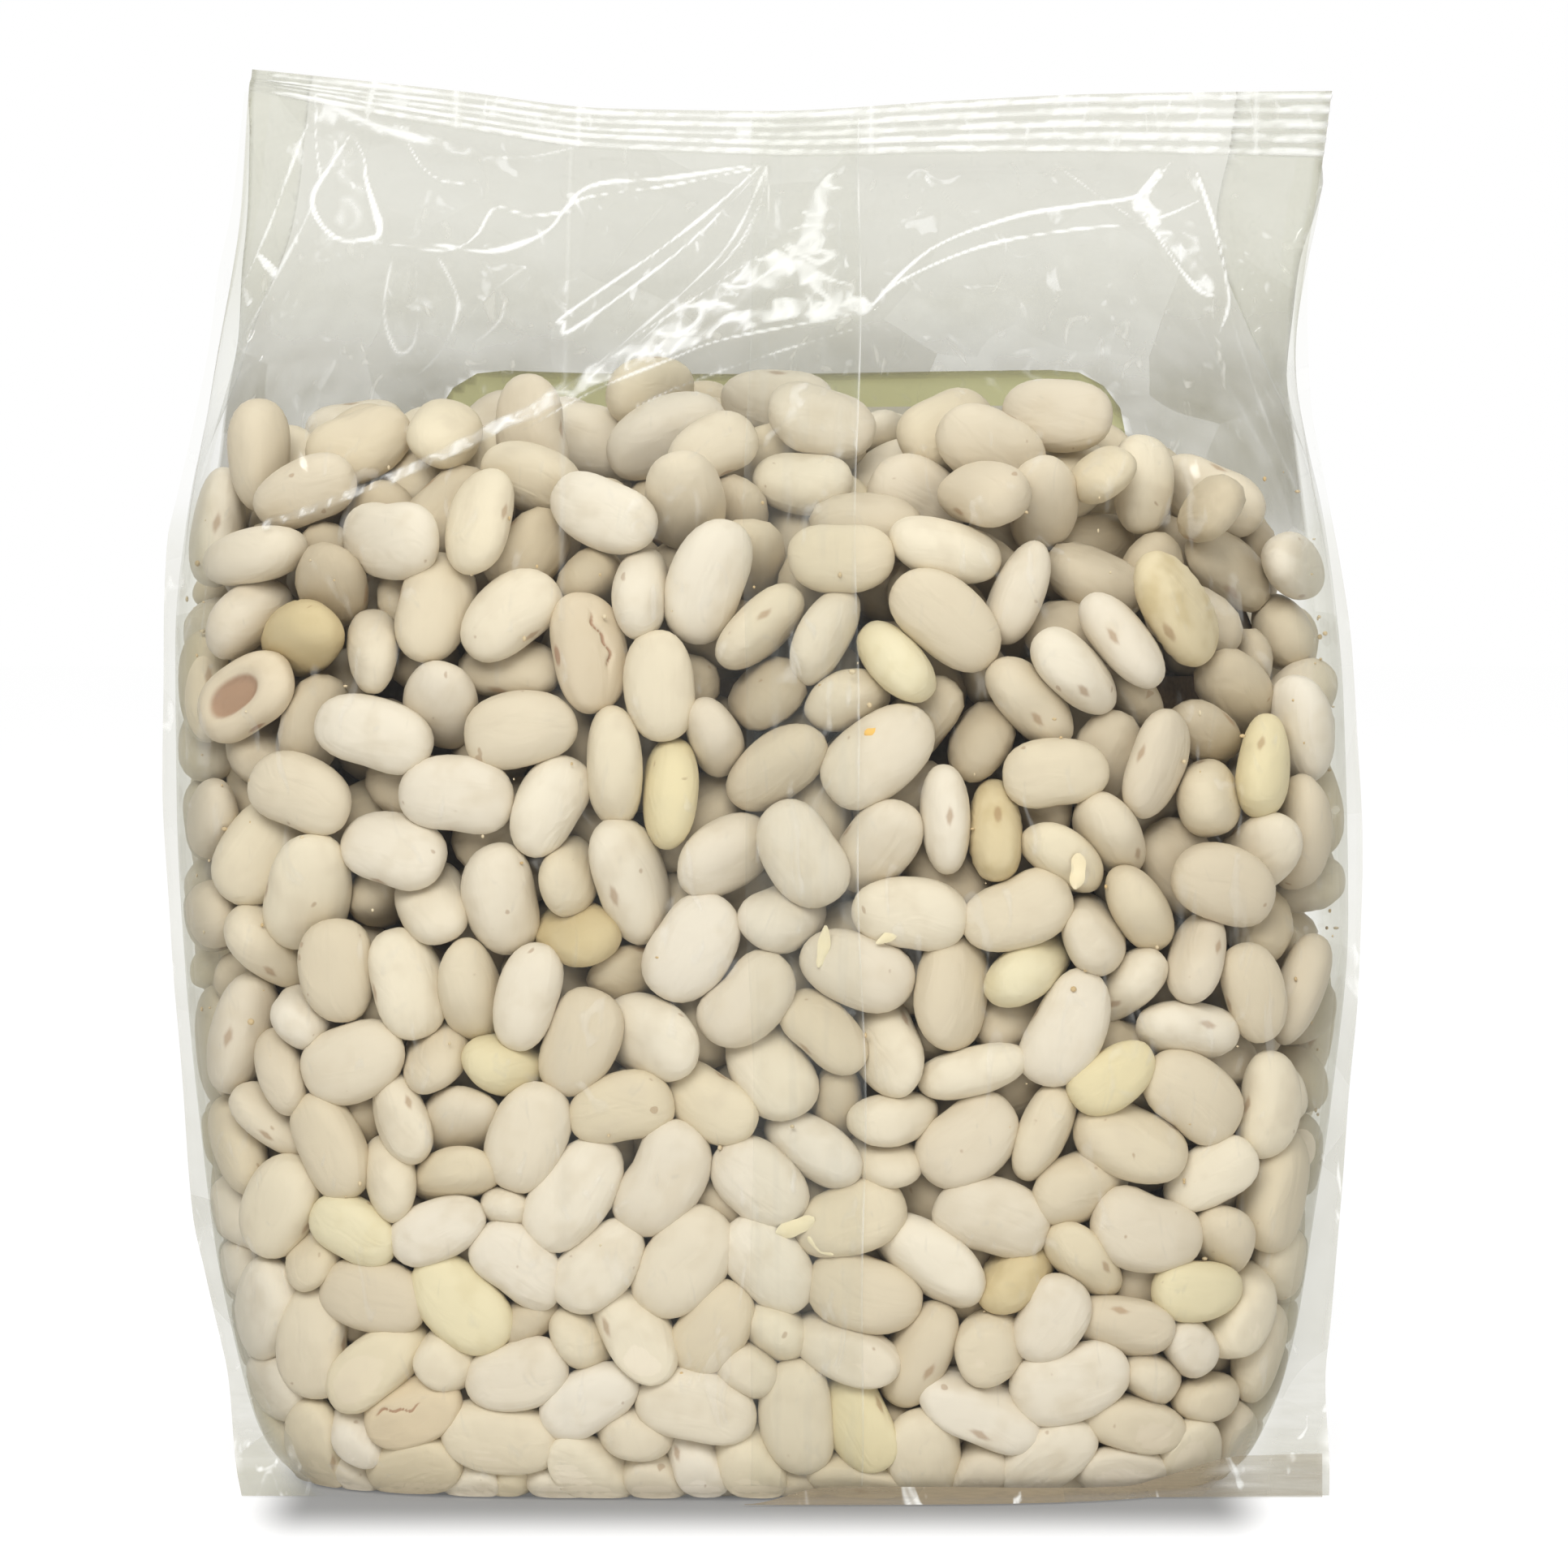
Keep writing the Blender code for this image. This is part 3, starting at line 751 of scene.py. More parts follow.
def far_from_line(x, z, line):
    """Distance of points to a curve through given corners, and how far along it they are (0 to 1)."""
    corners = np.array(line, float) * MM
    corners = np.concatenate([corners[:1], corners, corners[-1:]])
    fine = []
    for k in range(1, len(corners) - 2):
        p0, p1, p2, p3 = corners[k - 1 : k + 3]
        for t in np.linspace(0.0, 1.0, 7)[:-1]:
            fine.append(0.5 * (2 * p1 + (p2 - p0) * t + (2 * p0 - 5 * p1 + 4 * p2 - p3) * t * t
                               + (3 * p1 - p0 - 3 * p2 + p3) * t**3))
    fine.append(corners[-1])
    best = np.full(len(x), 1.0)
    along = np.zeros(len(x))
    for k, ((ax, az), (bx, bz)) in enumerate(zip(fine[:-1], fine[1:])):
        dx, dz = bx - ax, bz - az
        t = (((x - ax) * dx + (z - az) * dz) / (dx * dx + dz * dz + 1e-12)).clip(0.0, 1.0)
        far = np.hypot(x - ax - t * dx, z - az - t * dz)
        along = np.where(far < best, (k + t) / (len(fine) - 1), along)
        best = np.minimum(best, far)
    return best, along


def value_noise(points, cell, rng):
    """Smooth noise from -1 to 1, as crossed sine waves of about the given length."""
    total = np.zeros(len(points))
    for _ in range(7):
        way = rng.normal(size=3)
        way *= 2.0 * np.pi / (cell * np.linalg.norm(way))
        total += np.sin(points @ way + rng.uniform(0.0, 6.3))
    return total / 3.5


def crease_film(points, rng):
    """How far creases and crumples raise the back panel, and how white they make it, partly as painted
    highlight and glare.

    The points are (x, y, z below the seal's foot) in metres.
    """
    x, z = points[:, 0], points[:, 2]
    height = np.zeros(len(points))
    white = np.zeros(len(points))
    for line, rise, width, whiteness in CREASES:
        far, along = far_from_line(x, z, line)
        taper = ease(0.0, 0.10, along) * (1.0 - ease(0.75, 1.0, along))
        uneven = (0.80 + 0.32 * value_noise(points, 8.0 * MM, rng)).clip(0.3, 1.2)
        wide = width * MM * (0.35 + 0.65 * taper) * uneven
        shine = 0.85 * bell(far, 0.55 * wide) + 0.15 * bell(far, 1.9 * wide)
        height += rise * MM * uneven * bell(far, 1.3 * width * MM)
        white = np.maximum(white, whiteness * (0.4 + 0.6 * taper) * uneven * shine)
    for line, start, end, whiteness in GLARES:
        far, along = far_from_line(x, z, line)
        wide = (start + (end - start) * along) * MM
        edge = 1.0 + 0.30 * value_noise(points, 5.0 * MM, rng)
        share = 1.0 - ease(0.55, 1.30, far / wide * edge)
        across, down = 0.86 * x - 0.50 * z, 0.50 * x + 0.86 * z
        hatched = np.stack([across, 0.0 * x, 0.22 * down], 1)
        hatch = value_noise(hatched, 2.4 * MM, rng)
        fold = value_noise(points, 5.0 * MM, rng)
        patch = ease(-0.2, 0.7, value_noise(points, 6.0 * MM, rng))
        lines = bell(fold, 0.15) + (0.3 + 0.7 * patch) * bell(hatch, 0.30)
        height += share * 0.16 * MM * (hatch + fold)
        streaks = 0.12 + 0.34 * patch + 0.60 * lines.clip(0.0, 1.0)
        white = np.maximum(white, whiteness * share * streaks)
    return height, white


# ---------------------------------------------------------------- the film
def quarter(side, depth, squareness, tuck, gusset_parts, panel_parts):
    """A quarter of a cross-section: the side gusset, folded in by tuck, then the panel to its middle."""
    angle = np.linspace(0.0, np.pi / 2.0, 300)
    x = side * np.cos(angle).clip(0.0) ** (2.0 / squareness)
    y = depth * np.sin(angle) ** (2.0 / squareness)
    length = np.concatenate([[0.0], np.cumsum(np.hypot(np.diff(x), np.diff(y)))])
    lip = np.interp(TUCK_LIP * depth, y, length)
    gusset = np.linspace(0.0, lip, gusset_parts + 1)[:-1]
    at = np.concatenate([gusset, np.linspace(lip, length[-1], panel_parts + 1)])
    fold = tuck * (1.0 - at / max(lip, 1e-6)).clip(0.0)
    return np.interp(at, length, x) - fold, np.interp(at, length, y)


def film_sides(height, gusset_parts, panel_parts):
    """The right and the left quarter of the film's cross-section at a height, as (x, y) each."""
    depth, squareness = float(half_depth(height)), float(power(height))
    tucked = float(ease(0.70, 0.93, height / HEIGHT))
    sides = []
    for is_right, tuck in ((True, TUCK_RIGHT), (False, TUCK_LEFT)):
        side = float(reach(is_right, height))
        sides.append(quarter(side, depth, squareness, tuck * tucked, gusset_parts, panel_parts))
    return sides


def whole_section(height):
    """Closed cross-section of the film, anticlockwise from the right-hand side."""
    (rx, ry), (lx, ly) = film_sides(height, GUSSET_PARTS, PANEL_PARTS)
    x = np.concatenate([rx[:-1], -lx[:0:-1], -lx[:-1], rx[:0:-1]])
    y = np.concatenate([ry[:-1], ly[:0:-1], -ly[:-1], -ry[:0:-1]])
    return np.stack([x, y, np.full_like(x, height)], axis=1)


def front_section(height):
    """Cross-section of gussets and front panel, from the right edge of the back panel to the left."""
    (rx, ry), (lx, ly) = film_sides(height, GUSSET_PARTS, PANEL_PARTS)
    k = GUSSET_PARTS
    x = np.concatenate([rx[k:0:-1], rx[:-1], -lx[:0:-1], -lx[: k + 1]])
    y = np.concatenate([-ry[k:0:-1], ry[:-1], ly[:0:-1], -ly[: k + 1]])
    return np.stack([x, y, np.full_like(x, height)], axis=1)


def back_section(height):
    """Cross-section of the back panel alone, finely divided, from left to right."""
    (rx, ry), (lx, ly) = film_sides(height, 1, FINE_PARTS)
    x = np.concatenate([-lx[1:-1], rx[:0:-1]])
    y = np.concatenate([-ly[1:-1], -ry[:0:-1]])
    return np.stack([x, y, np.full_like(x, height)], axis=1)


def seal_press(points, rng):
    """Height of the pressed ridges across the seal, and how white each point of it is: the layered seal's
    own white, with painted highlight on the ridges and where layers end.
    """
    x, _, z = points.T
    up = ((z - SEAL_FOOT) / (HEIGHT - SEAL_FOOT)).clip(0.0, 1.0)
    inside = ease(0.0, 0.04, up)
    ridge = bell(up * SEAL_RIDGES % 1.0 - 0.5, 0.20)
    uneven = value_noise(points * (1.0, 0.0, 3.0), 9.0 * MM, rng)
    uneven += 0.6 * value_noise(points * (1.0, 0.0, 5.0), 2.6 * MM, rng)
    line = ridge * (0.16 + 0.62 * ease(-0.5, 0.7, uneven))
    steps = sum(bell(x - step, 0.30 * MM) for step in SEAL_STEPS)
    plain_end = 1.0 - ease(BAG_LOW[0] + 0.012, BAG_LOW[0] + 0.016, x)
    white = inside * (0.10 + line + 0.16 * steps.clip(0.0, 1.0)) * (1.0 - 0.8 * plain_end)
    return SEAL_RIDGE * ridge * inside * (0.8 + 0.3 * uneven), white


def behind_label(x, z):
    """Which places (x, z) of the front panel the label backs, with its rounded corners."""
    middle, half = (LABEL_LOW + LABEL_HIGH) / 2.0, (LABEL_HIGH - LABEL_LOW) / 2.0
    past_x = (np.abs(x - middle[0]) - half[0] + LABEL_CORNER).clip(0.0)
    past_z = (np.abs(z - middle[2]) - half[2] + LABEL_CORNER).clip(0.0)
    return np.hypot(past_x, past_z) < LABEL_CORNER - 0.5 * MM


def film_haze(points, back):
    """Share of light the film scatters: nearly none over the beans, more where it hangs empty.

    The back panel is the clearer one; the front panel is clear where the label backs it. On the front panel
    the haze of the empty top is partly painted shade.
    """
    x, _, z = points.T
    up = z / HEIGHT
    side = np.where(x > 0.0, reach(True, z), reach(False, z))
    haze = CLEAR_HAZE + 0.12 * ease(0.88, 1.0, np.abs(x) / side) * (1.0 - ease(0.66, 0.78, up))
    if back:
        past = x - SEAM_RIGHT
        lap = ease(-0.3 * MM, 0.3 * MM, x - PANEL_LAP) * (1.0 - ease(0.0, 0.6 * MM, past))
        return haze + 0.12 * ease(0.77, 0.88, up) + 0.022 * lap
    # Front panel's empty top: grey haze, partly painted shade of the bag's shaded inside seen through it.
    empty = 0.66 * ease(0.62, 0.72, up) * (1.0 - 0.73 * ease(0.75, 0.92, up))
    return haze + np.where(behind_label(x, z), 0.0, empty)


def slack_film(points, outward):
    """Film points moved by the slack of the empty top and by the seal's ridges, and their whiteness."""
    rng = np.random.default_rng(SEED + 1)
    z = points[:, 2]
    slack = ease(0.60 * HEIGHT, 0.80 * HEIGHT, z) * (1.0 - ease(SEAL_FOOT - 4 * MM, SEAL_FOOT, z))
    wave = 0.9 * value_noise(points, 46.0 * MM, rng) + 0.22 * value_noise(points, 15.0 * MM, rng)
    press, white = seal_press(points, rng)
    return points + outward * (slack * wave * MM + press)[:, None], white


def film_piece(name, points, faces, haze, white_and_glint, material):
    """A piece of film, with its haze and its whiteness (partly painted highlight) for the material."""
    piece = new_piece(name, points, faces, material)
    set_attribute(piece, "haze", haze)
    set_attribute(piece, "white_and_glint", white_and_glint)
    return piece


def build_film(material):
    """The film: closed rings round the beans, and above them gussets with the front panel."""
    lower = np.array([whole_section(height) for height in BODY_HEIGHTS * HEIGHT])
    upper = np.array([front_section(height) for height in TOP_HEIGHTS * HEIGHT])
    normals = (ring_normals(lower, True).reshape(-1, 3), ring_normals(upper, False).reshape(-1, 3))
    points = np.concatenate([lower.reshape(-1, 3), upper.reshape(-1, 3)])
    moved, white = slack_film(points, np.concatenate(normals))
    count = lower.shape[0] * lower.shape[1]
    faces = ring_faces(*lower.shape[:2])
    faces += [[count + i for i in face] for face in strip_faces(*upper.shape[:2])]
    is_upper = np.arange(len(points)) >= count
    back = (points[:, 1] < 0.0) & ~is_upper
    haze = np.where(back, film_haze(points, True), film_haze(points, False))
    tucked_in = (np.abs(points[:, 1]) < TUCK_LIP * half_depth(points[:, 2])) & is_upper
    haze = haze * np.where(tucked_in, 0.05, 1.0)
    lap_line = back * bell(points[:, 0] - PANEL_LAP, 0.6 * MM)
    white = np.maximum(white, 0.06 * lap_line)
    piece = film_piece("bag_film", shape_top(moved), faces, haze, white, material)
    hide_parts("bag")
    return piece


def build_back(material, rng):
    """The back panel above the beans, fine enough for its creases."""
    heights = np.linspace(FINE_FROM, HEIGHT, FINE_ROWS)
    sections = np.array([back_section(height) for height in heights])
    outward = ring_normals(sections, False).reshape(-1, 3)
    points = sections.reshape(-1, 3)
    moved, white = slack_film(points, outward)
    height, creased = crease_film(points - (0.0, 0.0, SEAL_FOOT), rng)
    moved += outward * height[:, None]
    lap_line = bell(points[:, 0] - PANEL_LAP, 0.35 * MM)
    white = np.maximum(np.maximum(white, creased), 0.14 * lap_line)
    faces = strip_faces(*sections.shape[:2])
    return film_piece("bag_back", shape_top(moved), faces, film_haze(points, True), white, material)


def fin_points(heights, across, right, edge):
    """Points of the fin on one side, from inside the bag out to its edge, standing forward at the foot."""
    up = heights / HEIGHT
    outer = through(edge, up) * HALF_WIDTH
    overlap = 6.0 * MM * (1.0 - ease(0.62, 0.76, up))
    inner = np.minimum(reach(right, heights) - overlap, outer - 1.5 * MM) - 2.0 * MM * ease(0.62, 0.76, up)
    x = inner[:, None] + (outer - inner)[:, None] * across
    ripple = 0.4 * MM * np.sin(260.0 * heights + right)[:, None] * across
    forward = 1.0 - ease(2.0 * MM, 16.0 * MM, heights)
    depth = TUCK_LIP * half_depth(heights) * (1.0 - forward) + foot_depth(0.070) * forward
    z = np.broadcast_to(heights[:, None], x.shape)
    return np.stack([x if right else -x, -depth[:, None] + ripple, z], axis=2).reshape(-1, 3)


def build_fins(material):
    """Narrow fins of pressed film beyond the gussets, widest in the bottom corners."""
    heights = np.concatenate([np.linspace(0.0, 0.030, 34)[:-1], np.linspace(0.030, SEAL_FOOT, 80)])
    across = np.linspace(0.0, 1.0, 9)
    sides = [fin_points(heights, across, *side) for side in ((True, RIGHT_EDGE), (False, LEFT_EDGE))]
    points = np.concatenate(sides)
    faces = strip_faces(len(heights), len(across))
    faces += [[len(sides[0]) + i for i in face] for face in faces]
    z, up = points[:, 2], points[:, 2] / HEIGHT
    share = np.tile(across, 2 * len(heights))
    foot = 1.0 - ease(6.0 * MM, 8.0 * MM, z)
    low = 1.0 - ease(0.20, 0.45, up)
    haze = (0.20 + 0.20 * low + 0.12 * foot) * ease(0.0, 0.55, share) * (1.0 - ease(0.64, 0.73, up))
    fine = value_noise(points * (0.3, 0.3, 1.0), 12.0 * MM, np.random.default_rng(SEED + 3))
    # Whiteness of the crimps at the foot and of the fin's outer edge: the pressed film's own white with
    # painted highlight.
    pressed = np.sin(z / (1.35 * MM) * np.pi) ** 2 * foot * (0.6 + 0.4 * fine)
    rim = bell(share - 1.0, 0.06) * (0.5 + 0.4 * fine) * (1.0 - ease(0.58, 0.67, up))
    white = (0.14 * pressed + 0.16 * rim).clip(0.0, 1.0)
    film_piece("bag_fins", shape_top(points), faces, haze, white, material)


def foot_depth(x):
    """How far in front of the bag's middle the folded foot stands: with the panel, then straight on."""
    reach_out = np.minimum(np.abs(x), FOOT_TURN) / float(reach(True, 0.0))
    squareness = float(power(0.0))
    return float(half_depth(0.004)) * (1.0 - reach_out**squareness) ** (1.0 / squareness)


def build_foot(material):
    """Folded strip of film along the bottom of the back panel, from its middle out to the right ear."""
    end = float(through(RIGHT_EDGE, 0.0)) * HALF_WIDTH - 1.0 * MM
    x = np.linspace(-2.0 * MM, end, 140)
    across = np.linspace(0.0, 1.0, 25)
    tall = FOOT_HEIGHT * (0.85 + 0.15 * np.sin(90.0 * x)) * ease(-2.0 * MM, 8.0 * MM, x)
    tall += FOOT_EAR_RISE * ease(46.0 * MM, 62.0 * MM, x)
    rows = []
    for share in across:
        y = -foot_depth(x) - (1.1 - 0.5 * share) * MM
        rows.append(np.stack([x, y, tall * share + 0.05 * MM], 1))
    points = np.concatenate(rows)
    fold = value_noise(points * (0.08, 0.0, 1.0), 1.8 * MM, np.random.default_rng(SEED + 4))
    # Whiteness of the crimps toward the ear: the pressed film's own white with painted highlight.
    pressed = ease(0.3, 0.9, fold) * ease(20.0 * MM, 60.0 * MM, points[:, 0])
    # Thick haze in the foot material's brown: painted shade of the beans seen through the fold, less of it
    # toward the ear.
    haze = 0.74 - 0.34 * ease(44.0 * MM, 66.0 * MM, points[:, 0]) - 0.10 * fold
    film_piece("bag_foot", points, strip_faces(len(across), len(x)), haze, 0.16 * pressed, material)


def surface_of(pieces):
    """Search tree over the faces of some pieces."""
    corners, faces = [], []
    for piece in pieces:
        first = len(corners)
        corners.extend(v.co for v in piece.data.vertices)
        faces.extend([first + i for i in p.vertices] for p in piece.data.polygons)
    return BVHTree.FromPolygons(corners, faces)


def build_lap_seam(films, material, rng):
    """Strip of film sealed over the back panel, with fine ridges and a painted highlight along its cut
    edge.
    """
    tree = surface_of(films)
    heights = np.linspace(0.012, 0.982, 220) * HEIGHT
    across = np.linspace(0.0, 1.0, 41)
    points = []
    for height in heights:
        sway = 0.5 * MM * math.sin(height * 42.0) + 0.25 * MM * math.sin(height * 130.0 + 1.0)
        for share in across:
            x = SEAM_LEFT + sway + share * (SEAM_RIGHT - SEAM_LEFT)
            hit = tree.ray_cast(Vector((x, -0.2, height)), Vector((0.0, 1.0, 0.0)))[0]
            points.append((x, hit[1] - 0.35 * MM - 0.10 * MM * math.sin(share * 50.0), height))
    points = np.array(points)
    share = np.tile(across, len(heights))
    # Painted highlight along the cut edge, fainter on the other edge, dimmer over the beans.
    edges = 0.42 * bell(share - 1.0, 0.016) + 0.10 * bell(share, 0.016)
    broken = 0.70 + 0.55 * value_noise(points, 11.0 * MM, rng).clip(-0.9, 1.0)
    over_beans = 1.0 - 0.45 * (1.0 - ease(0.66 * HEIGHT, 0.78 * HEIGHT, points[:, 2]))
    streak = value_noise(points * (1.0, 0.0, 0.10), 1.6 * MM, rng)
    white = edges * broken * over_beans + 0.05 * ease(0.2, 0.9, streak)
    haze = np.full(len(points), 0.030)
    faces = strip_faces(len(heights), len(across))
    film_piece("lap_seam", points, faces, haze, white.clip(0.0, 1.0), material)


def ring_normals(sections, closed):
    """Outward directions along cross-sections, which run anticlockwise."""
    along = np.roll(sections, -1, axis=1) - np.roll(sections, 1, axis=1)
    if not closed:
        along[:, 0] = sections[:, 1] - sections[:, 0]
        along[:, -1] = sections[:, -1] - sections[:, -2]
    normal = np.stack([along[..., 1], -along[..., 0], np.zeros(along.shape[:2])], axis=2)
    return normal / (np.linalg.norm(normal, axis=2, keepdims=True) + 1e-9)


def strip_faces(rows, columns):
    """Faces of an open grid of rows by columns of points."""
    r, c = np.meshgrid(np.arange(rows - 1), np.arange(columns - 1), indexing="ij")
    a = r * columns + c
    quads = np.stack([a, a + 1, a + columns + 1, a + columns], -1)
    return quads.reshape(-1, 4).tolist()


def ring_faces(rows, around):
    """Faces between closed rings, with a flat bottom in the first."""
    r, c = np.meshgrid(np.arange(rows - 1), np.arange(around), indexing="ij")
    low, n = r * around, (c + 1) % around
    quads = np.stack([low + c, low + n, low + around + n, low + around + c], -1)
    return quads.reshape(-1, 4).tolist() + [list(range(around))[::-1]]


# ---------------------------------------------------------------- the core behind the beans
def build_core():
    """Plain dark block in the middle of the heap, where no bean can be seen: painted shade of the unlit
    beans there.
    """
    heights = np.linspace(0.012, HEAP_TOP - 0.044, 14)
    inset = 16.5 * MM
    angle = np.linspace(0.0, 2.0 * np.pi, 64, endpoint=False)
    c, s = np.cos(angle), np.sin(angle)
    rings = []
    for height in heights:
        side_right, side_left = (float(reach(right, height)) - inset for right in (True, False))
        x = np.where(c > 0, side_right, side_left) * np.sign(c) * np.abs(c) ** 0.7
        y = (float(half_depth(height)) - inset) * np.sign(s) * np.abs(s) ** 0.7
        rings.append(np.stack([x, y, np.full(64, height)], 1))
    points = np.concatenate(rings)
    faces = ring_faces(len(heights), 64) + [list(range(len(points) - 64, len(points)))]
    new_piece("bean_shade_core", points, faces, core_material())


# ---------------------------------------------------------------- the beans
def nearest(settled, free, places):
    """The free beans nearest to places (x, z) on the back panel, taken out of the free ones."""
    chosen = []
    for x, z in places:
        spot = np.array([x, -float(half_depth(z)) + 4.0 * MM, z])
        far = np.linalg.norm(settled[0][free] - spot, axis=1)
        chosen.append(free.pop(int(np.argmin(far))))
    return chosen


def build_beans(rng):
    """The beans that can be seen: odd ones at their places, the rest in pieces of a few hundred."""
    settled = pack_beans(rng)
    place = settled[0]
    gap = np.minimum(wall_gap(place)[0], place[:, 2])
    shown = (gap < SHELL) | (place[:, 2] > HEAP_TOP - 0.046)
    outer = shown & ((gap < 8.5 * MM) | (place[:, 2] > HEAP_TOP - 0.022))
    free = rng.permutation(np.nonzero(outer)[0]).tolist()
    ivory = bean_material("bean_ivory", (229, 221, 206), (208, 195, 171), (226, 213, 180))
    yellow = bean_material("bean_yellow", (228, 219, 188), (217, 205, 168), (224, 209, 164), mottle=0.8)
    tan = bean_material("bean_wrinkled", (220, 206, 172), (200, 182, 140), (214, 196, 152), mottle=0.9)
    broken = bean_material("bean_broken", (226, 214, 192), (206, 190, 162), (224, 206, 172),
                           (160, 120, 92), mottle=0.6, marked=0.80)
    # Painted shade: a darker copy of the ivory for the beans deeper in the heap.
    shaded = bean_material("bean_shaded", (208, 196, 173), (188, 174, 149), (200, 185, 154))
    groups = [
        ("beans_cracked", nearest(settled, free, CRACKED_AT), 30, cracked_bean, broken),
        ("beans_hollow", nearest(settled, free, HOLLOW_AT), 16, hollow_bean, broken),
        ("beans_wrinkled", nearest(settled, free, WRINKLED_AT), 14, wrinkled_bean, tan),
        ("beans_yellow", nearest(settled, free, YELLOW_AT), 8, plain_bean, yellow),
    ]
    for n in range(0, len(free), BEANS_A_PIECE):
        name = f"beans_outer_{n // BEANS_A_PIECE + 1}"
        groups.append((name, free[n : n + BEANS_A_PIECE], 8, plain_bean, ivory))
    groups.append(("beans_inner", np.nonzero(shown & ~outer)[0], 4, plain_bean, shaded))
    for name, chosen, grid, shape, material in groups:
        bean_piece(name, chosen, settled, grid, shape, material, rng)


def build_chips():
    """Loose chips of bean skin caught between the beans and the film."""
    material = bean_material("bean_skin", (238, 228, 198), (228, 214, 172), (236, 190, 104))
    points, faces, warm = [], [], []
    across, along = np.linspace(-1.0, 1.0, 5), np.linspace(-1.0, 1.0, 11)
    for (x, z), slant, length, width, orange in CHIPS:
        first = len(points) * len(along) * len(across)
        v, u = np.meshgrid(along, across, indexing="ij")
        taper = np.sqrt(1.0 - 0.96 * v**2) * (1.0 + 0.12 * np.sin(5.0 * v + x * 900.0))
        local_x = v * length / 2.0
        local_z = u * width / 2.0 * taper + 0.04 * length * v**2
        local_y = 0.14 * width * u**2 - 0.03 * length * v**2 + 0.06 * np.sin(5.0 * v + u)
        c, s = math.cos(math.radians(slant)), math.sin(math.radians(slant))
        px, pz = local_x * c - local_z * s, local_x * s + local_z * c
        y = -float(half_depth(z)) + 0.9 * MM
        points.append(np.stack([x + px * MM, y + local_y * MM, z + pz * MM], axis=2).reshape(-1, 3))
        warm.append(np.full(px.size, orange))
        faces += [[first + i for i in face] for face in strip_faces(len(along), len(across))]
    points, warm = np.concatenate(points), np.concatenate(warm)
    tone = np.stack([warm, warm * 0 + 0.3, warm * 0, warm * 0 + 1], 1)
    skinned_piece("skin_chips", points, faces, tone, points, material)


def build_crumbs(rng):
    """Tiny grains of broken bean, near the film all round."""
    material = bean_material("bean_crumb", (222, 208, 178), (198, 178, 140), (210, 176, 120))
    ball, faces = ball_grid(2)
    angle = rng.uniform(0.0, 2.0 * np.pi, CRUMBS)
    z = rng.beta(1.0, 1.3, CRUMBS) * 0.72 * HEIGHT + 2.0 * MM
    c, s, p = np.cos(angle), np.sin(angle), power(z)
    side = np.where(c > 0, reach(True, z), reach(False, z))
    around = (np.abs(c) ** p + np.abs(s) ** p) ** (-1.0 / p)
    inset = rng.uniform(1.0, 3.6, CRUMBS) * MM
    middle = np.stack([(side - inset) * c * around, (half_depth(z) - inset) * s * around, z], 1)
    size = rng.uniform(0.12, 0.34, CRUMBS) * MM
    stretch = rng.uniform(0.6, 1.4, (CRUMBS, 1, 3))
    points = (middle[:, None, :] + ball * size[:, None, None] * stretch).reshape(-1, 3)
    quads = np.concatenate([faces + n * len(ball) for n in range(CRUMBS)])
    tone = np.repeat(rng.uniform(0.0, 1.0, (CRUMBS, 1)), len(ball), 0)
    tone = np.concatenate([tone * 0.6, tone, tone * 0, tone * 0 + 1], 1)
    skinned_piece("bean_crumbs", points, quads, tone, points, material)


# ---------------------------------------------------------------- label
# Which material each ring of the label shows, from its border inwards: underside, then print.
UNDER_RINGS = (0, 1, 1, 1, 1, 1, 1)
PRINT_RINGS = (2, 3, 3, 3, 4, 4, 4)


def label_sheet(gap, border, corner):
    """Points of a sheet on the front panel, ring inside ring, and its faces with what each shows."""
    middle, half = (LABEL_LOW + LABEL_HIGH) / 2.0, (LABEL_HIGH - LABEL_LOW) / 2.0
    outline = rounded_outline(half[0], half[2], corner)
    field = rounded_outline(half[0] - border, half[2] - border, corner - border)
    rings = [outline, field] + [field * share for share in (0.85, 0.68, 0.50, 0.33, 0.16)]
    count = len(outline)
    points = [front_of(ring + (middle[0], middle[2]), gap) for ring in rings]
    points.append(front_of(np.array([[middle[0], middle[2]]]), gap))
    faces, shows = [], []
    for k in range(len(rings) - 1):
        for i in range(count):
            j = (i + 1) % count
            faces.append([(k + 1) * count + i, (k + 1) * count + j, k * count + j, k * count + i])
            shows.append(k)
    last = (len(rings) - 1) * count
    for i in range(count):
        faces.append([len(rings) * count, last + (i + 1) % count, last + i])
        shows.append(len(rings) - 1)
    return np.concatenate(points), faces, shows


